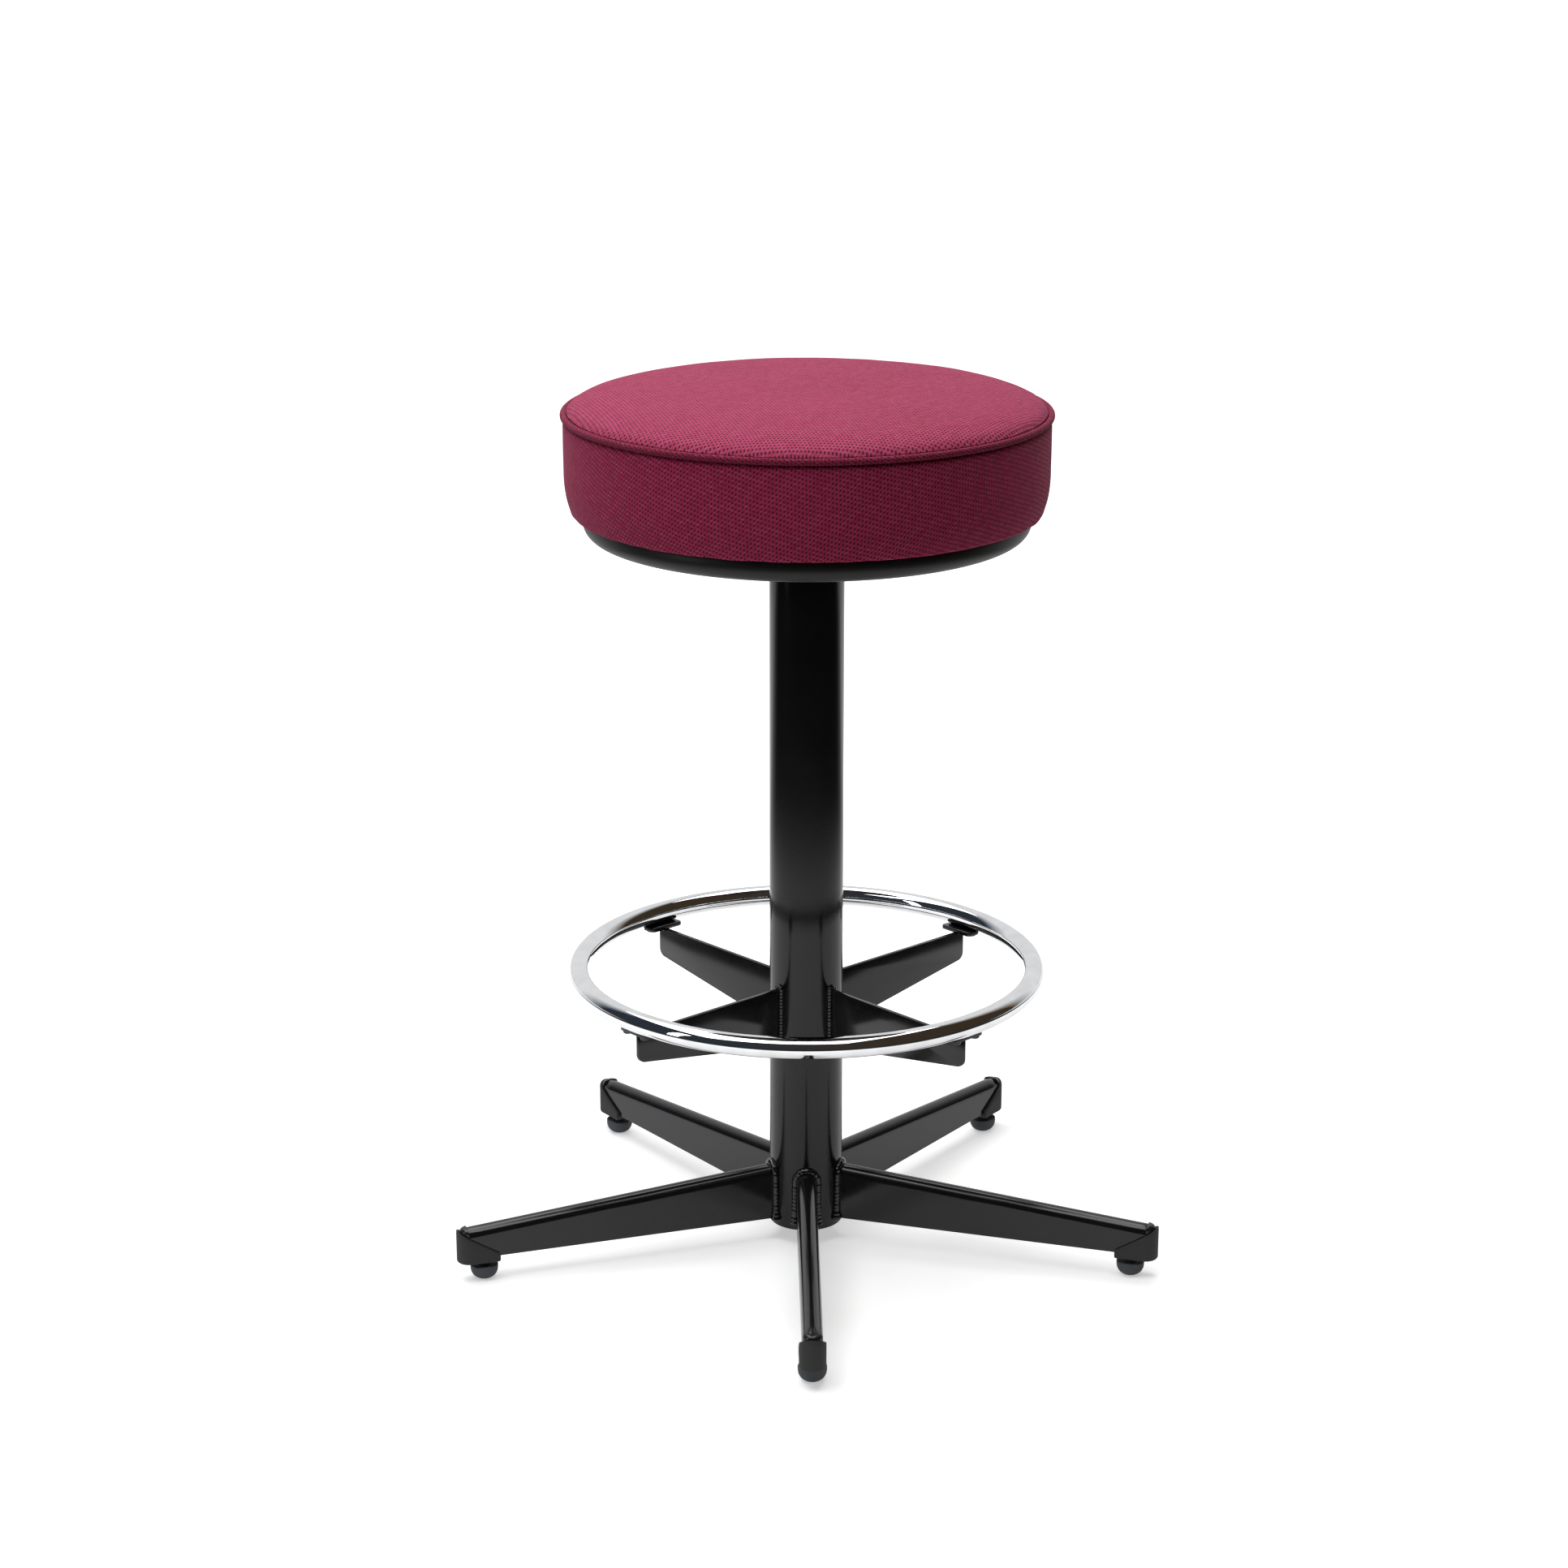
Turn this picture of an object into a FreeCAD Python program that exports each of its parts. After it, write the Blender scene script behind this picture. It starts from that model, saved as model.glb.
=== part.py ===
"""Bar stool with a fixed column, a five-arm base, a ring footrest and a round swivel seat.

Millimetres, +Z up. The origin is on the floor, on the column's axis. Azimuths are measured
about +Z from -Y, the side of arm 1, turning towards +X.
"""
import FreeCAD, Part
import math
import os

# ---- driving dimensions ------------------------------------------------------------------

COLUMN_R = 30.0              # outer radius of the column tube
COLUMN_WALL = 2.5
COLUMN_Z = (14.5, 586.0)     # lower and upper end of the tube
PLUG_Z = 18.0                # upper face of the disc that closes the tube's lower end

ARM_COUNT = 5
ARM_HALF = 8.0               # half of the arm's width, and the radius of its rounded back
ARM_WALL = 2.0
ARM_UNDER_Z = 20.4           # the arm's lower edges
ARM_ROOT_TOP = 66.4          # top of the arm at the column
ARM_TIP_TOP = 45.0           # top of the arm at its outer end
ARM_TIP_R = 290.6            # where the arm ends, inside its cap
WELD = 2.6                   # throat of the weld beads round an arm

CAP_R = (265.5, 299.5)       # inner and outer end of an end cap
CAP_HALF = 10.5              # half of the cap's width, and the radius of its nose
CAP_UNDER_Z = 15.5
CAP_RIM = ((266.0, 23.0), (292.0, 38.8))   # two points of the slanting rim, radius and height
CAP_CROWN_R = 8.0            # raised crown that closes the arm's open end
CAP_CROWN_Z = 45.2

GLIDE_AT_R = 277.0           # circle that the five glides stand on
GLIDE_R = 11.3
GLIDE_Z = (8.8, 12.2)        # top of the domed part, top of the rim
GLIDE_FLAT_R = 3.5           # small flat that touches the floor
STUD_R = 3.0
STUD_TOP = 28.0
INSERT_R = 4.6
INSERT_TOP = 30.0
FIT = 0.05                   # radial running clearance

RING_AT_R = 185.9            # centre line of the footrest ring
RING_TUBE_R = 8.5
RING_WALL = 2.0
RING_Z = 236.2

BRACKET_COUNT = 4
BRACKET_TURN = -3.0          # how far the cross of brackets is turned against arm 1
BRACKET_HALF = 1.75
BRACKET_TIP_R = 182.0
TAB = (173.0, 187.0)         # inner and outer edge of the tab under the ring
TAB_HALF = 17.0
TAB_THICK = 3.0
TAB_CORNER_R = 4.0
BRACKET_TIP_DEPTH = 24.5
BRACKET_ROOT_DEPTH = 50.5
BRACKET_CORNER_R = 7.0

SPINDLE_R = 12.5
HOUSING_BORE_R = 16.0
HOUSING_Z = (536.0, 590.0)   # lower face of the bearing housing, top of its flange
FLANGE_THICK = 4.0
BUSH_LENGTH = 14.0
WASHER_TOP = 592.6
HUB_R = 60.0
HUB_PLATE_THICK = 6.0
BOSS_R = 21.0

SEAT_RING_AT_R = 165.2       # black ring under the seat
SEAT_RING_TUBE_R = 12.1
SEAT_RING_WALL = 1.5
SEAT_RING_Z = 612.6
SPIDER_HALF = 15.0
SPIDER_THICK = 6.0

BOARD_R = 172.0
BOARD_THICK = 15.0
CLOTH = 1.6                  # thickness of the upholstery fabric
BAND_R = 191.6               # outside of the upright side band
FOOT_OF_BAND = (186.4, 620.8)
PIPING_AT_R = 191.0
PIPING_R = 2.7
PIPING_Z = 696.8
SEAT_TOP = 720.0
GAP = 0.3                    # clearance between soft layers

Z_AXIS = FreeCAD.Vector(0, 0, 1)
X_AXIS = FreeCAD.Vector(1, 0, 0)
ORIGIN = FreeCAD.Vector(0, 0, 0)


# ---- helpers -----------------------------------------------------------------------------

def vec(x, y, z):
    return FreeCAD.Vector(x, y, z)


def at_azimuth(shape, azimuth):
    """Turn a shape that was built along +X to an azimuth."""
    turned = shape.copy()
    turned.rotate(ORIGIN, Z_AXIS, azimuth - 90.0)
    return turned


def cylinder(radius, low, high, x=0.0, y=0.0):
    return Part.makeCylinder(radius, high - low, vec(x, y, low))


def tube(outer, inner, low, high, x=0.0, y=0.0):
    hole = cylinder(inner, low - 1, high + 1, x, y)
    return cylinder(outer, low, high, x, y).cut(hole)


def face_of(edges):
    return Part.Face(Part.Wire(Part.__sortEdges__(edges)))


def chain(points):
    """Straight edges through points of (radius, height), or arcs where an item is ('arc', mid, end)."""
    edges = []
    here = points[0]
    for item in points[1:]:
        if item[0] == "arc":
            mid, end = item[1], item[2]
            curve = Part.Arc(vec(here[0], 0, here[1]), vec(mid[0], 0, mid[1]), vec(end[0], 0, end[1]))
            edges.append(curve.toShape())
        else:
            end = item
            edges.append(Part.LineSegment(vec(here[0], 0, here[1]), vec(end[0], 0, end[1])).toShape())
        here = end
    return edges


def lathe(points):
    """Closed outline of (radius, height) points turned once about the axis."""
    edges = chain(list(points) + [points[0]])
    return face_of(edges).revolve(ORIGIN, Z_AXIS, 360)


def box(x0, x1, y0, y1, z0, z1):
    return Part.makeBox(x1 - x0, y1 - y0, z1 - z0, vec(x0, y0, z0))


def group(shapes):
    return Part.makeCompound(shapes)


def save(name, shape):
    solids = shape.Solids
    if not solids or not all(s.isValid() for s in solids):
        raise ValueError(name + " is not a valid solid")
    result = solids[0] if len(solids) == 1 else group(solids)
    result.exportStep(os.path.join("parts", name + ".step"))
    print("%-18s %3d solids %10.1f mm3" % (name, len(solids), sum(s.Volume for s in solids)))


# ---- column ------------------------------------------------------------------------------

def column():
    return tube(COLUMN_R, COLUMN_R - COLUMN_WALL, *COLUMN_Z)


def column_plug():
    """Plastic disc with a skirt that closes the lower end of the tube."""
    skirt_top = PLUG_Z + 12.0
    skirt_wall = 2.0
    outer = COLUMN_R - COLUMN_WALL
    cup = cylinder(outer, COLUMN_Z[0], skirt_top)
    return cup.cut(cylinder(outer - skirt_wall, PLUG_Z, skirt_top + 1))


# ---- arms of the base --------------------------------------------------------------------

def arm_section(x, top, half, low):
    """Upright face at x with straight sides and a half-round back."""
    centre = top - half
    back = Part.Arc(vec(x, -half, centre), vec(x, 0, top), vec(x, half, centre)).toShape()
    sides = [
        Part.LineSegment(vec(x, half, centre), vec(x, half, low)).toShape(),
        Part.LineSegment(vec(x, half, low), vec(x, -half, low)).toShape(),
        Part.LineSegment(vec(x, -half, low), vec(x, -half, centre)).toShape(),
    ]
    return face_of([back] + sides)


def arm_top_at(radius):
    slope = (ARM_TIP_TOP - ARM_ROOT_TOP) / (ARM_TIP_R - COLUMN_R)
    return ARM_ROOT_TOP + slope * (radius - COLUMN_R)


def arm_block(start, end, grow, low):
    """Solid of the arm's outline, offset outwards by grow, from one radius to another."""
    top = arm_top_at(start) + grow
    face = arm_section(start, top, ARM_HALF + grow, low - 60.0)
    solid = face.extrude(vec(end - start, 0, arm_top_at(end) - arm_top_at(start)))
    return solid.cut(box(start - 5, end + 5, -40, 40, low - 120, low))


def arm():
    start = COLUMN_R - 6.0
    outer = arm_block(start, ARM_TIP_R, 0.0, ARM_UNDER_Z)
    inner = arm_block(start - 1, ARM_TIP_R + 1, -ARM_WALL, ARM_UNDER_Z - 1)
    return outer.cut(inner).cut(cylinder(COLUMN_R, 0, 100))


def arm_weld():
    """Fillet bead that runs up one side of the arm, over its back and down the other side."""
    start = COLUMN_R - 4.0
    end = COLUMN_R + WELD + 0.6
    wide = arm_section(start, arm_top_at(start) + 2 * WELD, ARM_HALF + 2 * WELD, ARM_UNDER_Z)
    narrow = arm_section(end, arm_top_at(end) + 0.2, ARM_HALF + 0.2, ARM_UNDER_Z)
    bead = Part.makeLoft([wide.OuterWire, narrow.OuterWire], True)
    bead = bead.cut(cylinder(COLUMN_R, 0, 100))
    return bead.cut(arm_block(start - 2, end + 2, 0.0, ARM_UNDER_Z - 5))


# ---- end caps and glides -----------------------------------------------------------------

def nose_block(half, inner, low, high, x_centre):
    """Block with parallel sides and a half-round outer end."""
    return box(inner, x_centre, -half, half, low, high).fuse(cylinder(half, low, high, x_centre))


def end_cap():
    nose_x = CAP_R[1] - CAP_HALF
    high = CAP_CROWN_Z + 8.0
    body = nose_block(CAP_HALF, CAP_R[0], CAP_UNDER_Z, high, nose_x)
    (r0, z0), (r1, z1) = CAP_RIM
    slope = (z1 - z0) / (r1 - r0)
    rim_low, rim_high = CAP_R[0] - 5, CAP_R[1] + 5
    above = face_of(chain([
        (rim_low, z0 + slope * (rim_low - r0)),
        (rim_high, z0 + slope * (rim_high - r0)),
        (rim_high, high + 20),
        (rim_low, high + 20),
        (rim_low, z0 + slope * (rim_low - r0)),
    ])).extrude(vec(0, 60, 0))
    above.translate(vec(0, -30, 0))
    body = body.cut(above).removeSplitter()
    lower_edges = [
        e for e in body.Edges
        if abs(e.BoundBox.ZMax - CAP_UNDER_Z) < 1e-6 and abs(e.BoundBox.ZMin - CAP_UNDER_Z) < 1e-6
    ]
    body = body.makeFillet(2.4, lower_edges)
    channel = arm_block(CAP_R[0] - 3, ARM_TIP_R + 0.1, 0.1, ARM_UNDER_Z - 0.1)
    well = cylinder(CAP_CROWN_R, ARM_UNDER_Z, high, nose_x).cut(
        box(0, ARM_TIP_R + 0.1, -40, 40, 0, 80))
    crown = cylinder(CAP_CROWN_R, CAP_UNDER_Z + 3, CAP_CROWN_Z, nose_x)
    crown = crown.makeFillet(4.0, [e for e in crown.Edges if abs(e.BoundBox.ZMin - CAP_CROWN_Z) < 1e-6])
    crown = crown.cut(box(0, ARM_TIP_R + 0.1, -40, 40, 0, 80))
    plug_half = ARM_HALF - ARM_WALL - 0.2
    plug = box(CAP_R[0] + 2, ARM_TIP_R + 1, -plug_half, plug_half, ARM_UNDER_Z - 1, 34.0)
    cap = body.cut(channel).cut(well).fuse([crown, plug])
    pocket = cylinder(INSERT_R, CAP_UNDER_Z - 1, INSERT_TOP, GLIDE_AT_R)
    return cap.cut(pocket).removeSplitter()


def glide_insert():
    """Threaded steel insert in the cap; the stud turns in its bore."""
    return tube(INSERT_R, STUD_R + FIT, CAP_UNDER_Z, INSERT_TOP, GLIDE_AT_R)


def stud_head():
    return cylinder(5.5, 5.0, 8.0, GLIDE_AT_R)


def glide_stud():
    return stud_head().fuse(cylinder(STUD_R, 8.0, STUD_TOP, GLIDE_AT_R)).removeSplitter()


def glide_foot():
    dome_top, rim_top = GLIDE_Z
    chamfer = 0.6
    outline = [
        (0, 0), (GLIDE_FLAT_R, 0),
        ("arc", (9.1, 3.1), (GLIDE_R, dome_top)),
        (GLIDE_R, rim_top - chamfer), (GLIDE_R - chamfer, rim_top), (0, rim_top),
    ]
    foot = lathe(outline)
    foot.translate(vec(GLIDE_AT_R, 0, 0))
    return foot.cut(stud_head()).cut(cylinder(STUD_R, 8.0, STUD_TOP, GLIDE_AT_R))


# ---- footrest ----------------------------------------------------------------------------

TAB_TOP = RING_Z - RING_TUBE_R
BRACKET_TOP = TAB_TOP - TAB_THICK


def bracket():
    root = COLUMN_R - 4.0
    tip_low = BRACKET_TOP - BRACKET_TIP_DEPTH
    slope = (BRACKET_ROOT_DEPTH - BRACKET_TIP_DEPTH) / (BRACKET_TIP_R - COLUMN_R)
    root_low = BRACKET_TOP - BRACKET_ROOT_DEPTH - slope * (COLUMN_R - root)
    outline = chain([
        (root, BRACKET_TOP), (BRACKET_TIP_R, BRACKET_TOP), (BRACKET_TIP_R, tip_low),
        (root, root_low), (root, BRACKET_TOP),
    ])
    plate = face_of(outline).extrude(vec(0, 2 * BRACKET_HALF, 0))
    plate.translate(vec(0, -BRACKET_HALF, 0))
    corner = [
        e for e in plate.Edges
        if abs(e.BoundBox.XMin - BRACKET_TIP_R) < 1e-6 and abs(e.BoundBox.ZMax - tip_low) < 1e-6
    ]
    return plate.makeFillet(BRACKET_CORNER_R, corner).cut(cylinder(COLUMN_R, 0, 400))


def bracket_weld():
    """Two upright fillets where the bracket meets the column, joined over its top."""
    reach = 3.2
    low = BRACKET_TOP - BRACKET_ROOT_DEPTH + 1.5
    high = BRACKET_TOP + 1.8
    spread = BRACKET_HALF + reach
    corners = [
        vec(COLUMN_R - 2, -spread, low), vec(COLUMN_R + reach, -BRACKET_HALF, low),
        vec(COLUMN_R + reach, BRACKET_HALF, low), vec(COLUMN_R - 2, spread, low),
    ]
    bead = Part.Face(Part.makePolygon(corners + [corners[0]])).extrude(vec(0, 0, high - low))
    return bead.cut(cylinder(COLUMN_R, 0, 400)).cut(bracket())


def ring_tab():
    """Plate that lies on the bracket and carries the ring, with two screw holes."""
    plate = box(TAB[0], TAB[1], -TAB_HALF, TAB_HALF, BRACKET_TOP, TAB_TOP)
    upright = [
        e for e in plate.Edges
        if abs(e.BoundBox.ZMax - e.BoundBox.ZMin - TAB_THICK) < 1e-6
    ]
    plate = plate.makeFillet(TAB_CORNER_R, upright)
    for side in (-1, 1):
        plate = plate.cut(cylinder(SCREW_R + 0.2, BRACKET_TOP - 1, TAB_TOP + 1, RING_SCREW_X, side * SCREW_Y))
    return plate


SCREW_R = 2.0
SCREW_Y = 10.5
RING_SCREW_X = math.sqrt(RING_AT_R ** 2 - SCREW_Y ** 2) - 2.5


def tab_weld():
    """Fillets under the tab on both sides of the bracket."""
    reach = 2.6
    beads = []
    for side in (-1, 1):
        edge = side * BRACKET_HALF
        corners = [
            vec(TAB[0] + 1, edge, BRACKET_TOP), vec(TAB[0] + 1, edge + side * reach, BRACKET_TOP),
            vec(TAB[0] + 1, edge, BRACKET_TOP - reach),
        ]
        face = Part.Face(Part.makePolygon(corners + [corners[0]]))
        beads.append(face.extrude(vec(BRACKET_TIP_R - TAB[0] - 2, 0, 0)))
    return beads


def ring_screw(side):
    """Pan-head screw from below through the tab into the ring."""
    head = cylinder(4.0, BRACKET_TOP - 2.4, BRACKET_TOP, RING_SCREW_X, side * SCREW_Y)
    head = head.makeFillet(1.2, [e for e in head.Edges if abs(e.BoundBox.ZMax - BRACKET_TOP + 2.4) < 1e-6])
    shank = cylinder(SCREW_R, BRACKET_TOP, TAB_TOP + 5.0, RING_SCREW_X, side * SCREW_Y)
    slot = box(RING_SCREW_X - 0.5, RING_SCREW_X + 0.5, -30, 30, BRACKET_TOP - 3, BRACKET_TOP - 1.3)
    return head.fuse(shank).removeSplitter().cut(slot)


def bracket_azimuth(index):
    return 45.0 + 90.0 * index + BRACKET_TURN


def foot_ring():
    centre = vec(0, 0, RING_Z)
    ring = Part.makeTorus(RING_AT_R, RING_TUBE_R, centre)
    ring = ring.cut(Part.makeTorus(RING_AT_R, RING_TUBE_R - RING_WALL, centre))
    for index in range(BRACKET_COUNT):
        for side in (-1, 1):
            hole = cylinder(SCREW_R, TAB_TOP - 1, TAB_TOP + 5.0, RING_SCREW_X, side * SCREW_Y)
            ring = ring.cut(at_azimuth(hole, bracket_azimuth(index)))
    return ring


# ---- swivel bearing ----------------------------------------------------------------------

def bearing_housing():
    """Machined plug pressed into the column's top, with a flange and two bush seats."""
    low, high = HOUSING_Z
    outer = COLUMN_R - COLUMN_WALL
    seat = high - FLANGE_THICK
    flange = COLUMN_R
    outline = [
        (HOUSING_BORE_R, low), (outer - 1, low), (outer, low + 1), (outer, seat), (flange, seat),
        (flange, high - 1), (flange - 1, high), (HOUSING_BORE_R, high),
    ]
    return lathe(outline)


def bush(low, flange_up):
    """Flanged plastic bush in the housing's bore, with running clearance on the spindle."""
    high = low + BUSH_LENGTH
    bore = SPINDLE_R + FIT
    barrel = tube(HOUSING_BORE_R, bore, low, high)
    flange_low = high if flange_up else low - 1.5
    return barrel.fuse(tube(HOUSING_BORE_R + 4, bore, flange_low, flange_low + 1.5)).removeSplitter()


def spindle():
    """Turning shaft with a clip groove near its lower end."""
    low = HOUSING_Z[0] - 9.0
    high = hub_plate_z()[1]
    groove = tube(SPINDLE_R + 2, SPINDLE_R - 1.2, low + 3.0, low + 4.8)
    shaft = cylinder(SPINDLE_R, low, high).cut(groove)
    ends = [e for e in shaft.Edges if abs(e.BoundBox.ZMax - low) < 1e-6]
    return shaft.makeChamfer(1.0, ends)


def hub_plate_z():
    top = SEAT_RING_Z + SEAT_RING_TUBE_R - SPIDER_THICK
    return top - HUB_PLATE_THICK, top


def hub_plate():
    """Round steel plate with a boss below, welded to the spindle."""
    low, high = hub_plate_z()
    plate = tube(HUB_R, SPINDLE_R, low, high)
    boss = tube(BOSS_R, SPINDLE_R, WASHER_TOP + 0.2, low)
    return plate.fuse(boss).removeSplitter()


def thrust_washer():
    low = HOUSING_Z[1] + 1.5 + 0.1
    return tube(24.0, SPINDLE_R + 0.3, low, WASHER_TOP)


def end_washer():
    low = HOUSING_Z[0] - 1.5
    return tube(18.0, SPINDLE_R + 0.1, low - 2.5, low - 0.3)


def retaining_clip():
    low = HOUSING_Z[0] - 9.0
    clip = tube(SPINDLE_R + 3.0, SPINDLE_R - 1.2, low + 3.1, low + 4.7)
    return clip.cut(box(0, 30, -3, 3, low, low + 8))


# ---- seat frame --------------------------------------------------------------------------

def seat_ring():
    centre = vec(0, 0, SEAT_RING_Z)
    outer = Part.makeTorus(SEAT_RING_AT_R, SEAT_RING_TUBE_R, centre)
    return outer.cut(Part.makeTorus(SEAT_RING_AT_R, SEAT_RING_TUBE_R - SEAT_RING_WALL, centre))


SPIDER_Z = (SEAT_RING_Z + SEAT_RING_TUBE_R - SPIDER_THICK, SEAT_RING_Z + SEAT_RING_TUBE_R)
SEAT_SCREW_AT_R = (45.0, 120.0)
SEAT_SCREW_R = 2.5


def spider_arm():
    """Flat bar from the hub plate to the seat ring, coped to the ring and drilled for screws."""
    bar = box(SPINDLE_R + 6, SEAT_RING_AT_R - 2, -SPIDER_HALF, SPIDER_HALF, *SPIDER_Z)
    bar = bar.cut(Part.makeTorus(SEAT_RING_AT_R, SEAT_RING_TUBE_R, vec(0, 0, SEAT_RING_Z)))
    for radius in SEAT_SCREW_AT_R:
        bar = bar.cut(cylinder(SEAT_SCREW_R + 0.2, SPIDER_Z[0] - 1, SPIDER_Z[1] + 1, radius))
    solids = sorted(bar.Solids, key=lambda s: s.Volume)
    return solids[-1]


def spider_weld():
    """Beads along both sides of the bar on the hub plate."""
    reach = 3.0
    beads = []
    for side in (-1, 1):
        edge = side * SPIDER_HALF
        low = SPIDER_Z[0]
        corners = [vec(20, edge, low), vec(20, edge + side * reach, low), vec(20, edge, low + reach)]
        face = Part.Face(Part.makePolygon(corners + [corners[0]]))
        beads.append(face.extrude(vec(33, 0, 0)))
    return beads


BOARD_LOW = SPIDER_Z[1] + 2.0


def seat_screw(radius):
    """Pan-head wood screw up through the bar into the board."""
    if radius < HUB_R:
        under = hub_plate_z()[0]
    else:
        under = SPIDER_Z[0]
    head = cylinder(5.0, under - 3.0, under, radius)
    shank = cylinder(SEAT_SCREW_R, under, BOARD_LOW + 10.0, radius)
    return head.fuse(shank).removeSplitter()


def hub_screw_holes():
    return [at_azimuth(cylinder(SEAT_SCREW_R + 0.2, 590, 640, SEAT_SCREW_AT_R[0]), spider_azimuth(i))
            for i in range(4)]


def spider_azimuth(index):
    return 90.0 * index


def seat_board():
    """Plywood disc with a rounded lower edge, drilled for the seat screws."""
    high = BOARD_LOW + BOARD_THICK
    board = cylinder(BOARD_R, BOARD_LOW, high)
    rim = [e for e in board.Edges if e.BoundBox.ZMax - e.BoundBox.ZMin < 1e-6]
    board = board.makeFillet(2.0, rim)
    for index in range(4):
        for radius in SEAT_SCREW_AT_R:
            hole = cylinder(SEAT_SCREW_R, BOARD_LOW - 1, BOARD_LOW + 10.0, radius)
            board = board.cut(at_azimuth(hole, spider_azimuth(index)))
    return board


# ---- upholstery --------------------------------------------------------------------------

BAND_TOP = PIPING_Z - PIPING_R - GAP
DUST_COVER_R = 150.0


def dust_cover():
    """Thin black cloth under the board, inside the seat ring."""
    disc = cylinder(DUST_COVER_R, BOARD_LOW - 1.1, BOARD_LOW - 0.1)
    for index in range(4):
        for radius in SEAT_SCREW_AT_R:
            hole = cylinder(SEAT_SCREW_R + 0.3, BOARD_LOW - 2, BOARD_LOW + 1, radius)
            disc = disc.cut(at_azimuth(hole, spider_azimuth(index)))
    return disc


def cover_band():
    """Side panel: upright, drawn in at its foot, and turned under the board's edge."""
    foot_r, foot_z = FOOT_OF_BAND
    hem_z = BOARD_LOW - 0.2
    outline = [
        (BAND_R - CLOTH, BAND_TOP), (BAND_R, BAND_TOP), (BAND_R, 650.0),
        ("arc", (190.2, 635.0), (foot_r, foot_z)),
        ("arc", (184.6, 619.6), (182.6, 620.0)),
        (176.0, hem_z - CLOTH + 0.4), (152.0, hem_z - CLOTH + 0.4), (152.0, hem_z),
        (177.0, hem_z), (183.0, 622.0), (foot_r - CLOTH, foot_z + 1.0),
        ("arc", (190.2 - CLOTH, 635.4), (BAND_R - CLOTH, 650.0)),
    ]
    return lathe(outline)


def top_arc(drop):
    """The crown of the seat as two arcs, lowered by drop: the wide middle and the tighter shoulder."""
    return [
        (0, SEAT_TOP - drop),
        ("arc", (90.0, SEAT_TOP - 1.6 - drop), (150.0, SEAT_TOP - 5.6 - drop)),
        ("arc", (174.0, SEAT_TOP - 10.8 - drop), (188.0 - drop * 0.5, PIPING_Z + 3.4 - drop)),
    ]


def cover_top():
    """Domed round panel inside the piping."""
    outer = top_arc(0.0)
    inner = top_arc(CLOTH)
    edge_outer = outer[-1][2]
    edge_inner = inner[-1][2]
    shell = chain(outer) + chain([edge_outer, edge_inner]) + chain(inner)
    closing = chain([inner[0], outer[0]])
    return face_of(shell + closing).revolve(ORIGIN, Z_AXIS, 360)


def piping():
    return Part.makeTorus(PIPING_AT_R, PIPING_R, vec(0, 0, PIPING_Z))


def foam_core():
    """Foam block between the board and the cover."""
    side = BAND_R - CLOTH - GAP
    crown = top_arc(CLOTH + GAP)
    edge = crown[-1][2]
    low = BOARD_LOW + 0.2
    outline = chain(crown) + chain([
        edge, (186.5, PIPING_Z - 4.0), (side, PIPING_Z - 8.0), (side, 650.0),
        (188.0 - CLOTH, 636.0), (184.2, 623.4), (182.6, 623.2), (177.4, low), (BOARD_R + GAP, low),
        (BOARD_R + GAP, BOARD_LOW + BOARD_THICK + GAP), (0, BOARD_LOW + BOARD_THICK + GAP),
        crown[0],
    ])
    return face_of(outline).revolve(ORIGIN, Z_AXIS, 360)


# ---- assembly ----------------------------------------------------------------------------

def write_base():
    save("column", column())
    save("column_plug", column_plug())
    one_arm, one_cap, foot, stud = arm(), end_cap(), glide_foot(), glide_stud()
    for index in range(ARM_COUNT):
        azimuth = 360.0 / ARM_COUNT * index
        number = str(index + 1)
        save("arm_" + number, at_azimuth(one_arm, azimuth))
        save("end_cap_" + number, at_azimuth(one_cap, azimuth))
        save("glide_foot_" + number, at_azimuth(foot, azimuth))
        save("glide_stud_" + number, at_azimuth(stud, azimuth))
    turns = [360.0 / ARM_COUNT * i for i in range(ARM_COUNT)]
    save("arm_welds", group([at_azimuth(arm_weld(), a) for a in turns]))
    save("glide_inserts", group([at_azimuth(glide_insert(), a) for a in turns]))


def write_footrest():
    one_bracket, one_tab = bracket(), ring_tab()
    turns = [bracket_azimuth(i) for i in range(BRACKET_COUNT)]
    for index, azimuth in enumerate(turns):
        save("bracket_%d" % (index + 1), at_azimuth(one_bracket, azimuth))
        save("ring_tab_%d" % (index + 1), at_azimuth(one_tab, azimuth))
    save("bracket_welds", group([at_azimuth(bracket_weld(), a) for a in turns]))
    save("tab_welds", group([at_azimuth(bead, a) for a in turns for bead in tab_weld()]))
    save("ring_screws", group([at_azimuth(ring_screw(s), a) for a in turns for s in (-1, 1)]))
    save("foot_ring", foot_ring())


def write_bearing():
    low, high = HOUSING_Z
    save("bearing_housing", bearing_housing())
    save("lower_bush", bush(low, False))
    save("upper_bush", bush(high - BUSH_LENGTH, True))
    save("thrust_washer", thrust_washer())
    save("spindle", spindle())
    save("end_washer", end_washer())
    save("retaining_clip", retaining_clip())


def write_seat():
    plate = hub_plate()
    for hole in hub_screw_holes():
        plate = plate.cut(hole)
    save("hub_plate", plate)
    one_arm = spider_arm()
    turns = [spider_azimuth(i) for i in range(4)]
    for index, azimuth in enumerate(turns):
        save("spider_arm_%d" % (index + 1), at_azimuth(one_arm, azimuth))
    save("spider_welds", group([at_azimuth(bead, a) for a in turns for bead in spider_weld()]))
    save("seat_ring", seat_ring())
    save("seat_board", seat_board())
    save("seat_screws", group([at_azimuth(seat_screw(r), a) for a in turns for r in SEAT_SCREW_AT_R]))
    save("dust_cover", dust_cover())
    save("foam_core", foam_core())
    save("cover_band", cover_band())
    save("cover_top", cover_top())
    save("piping", piping())


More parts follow.
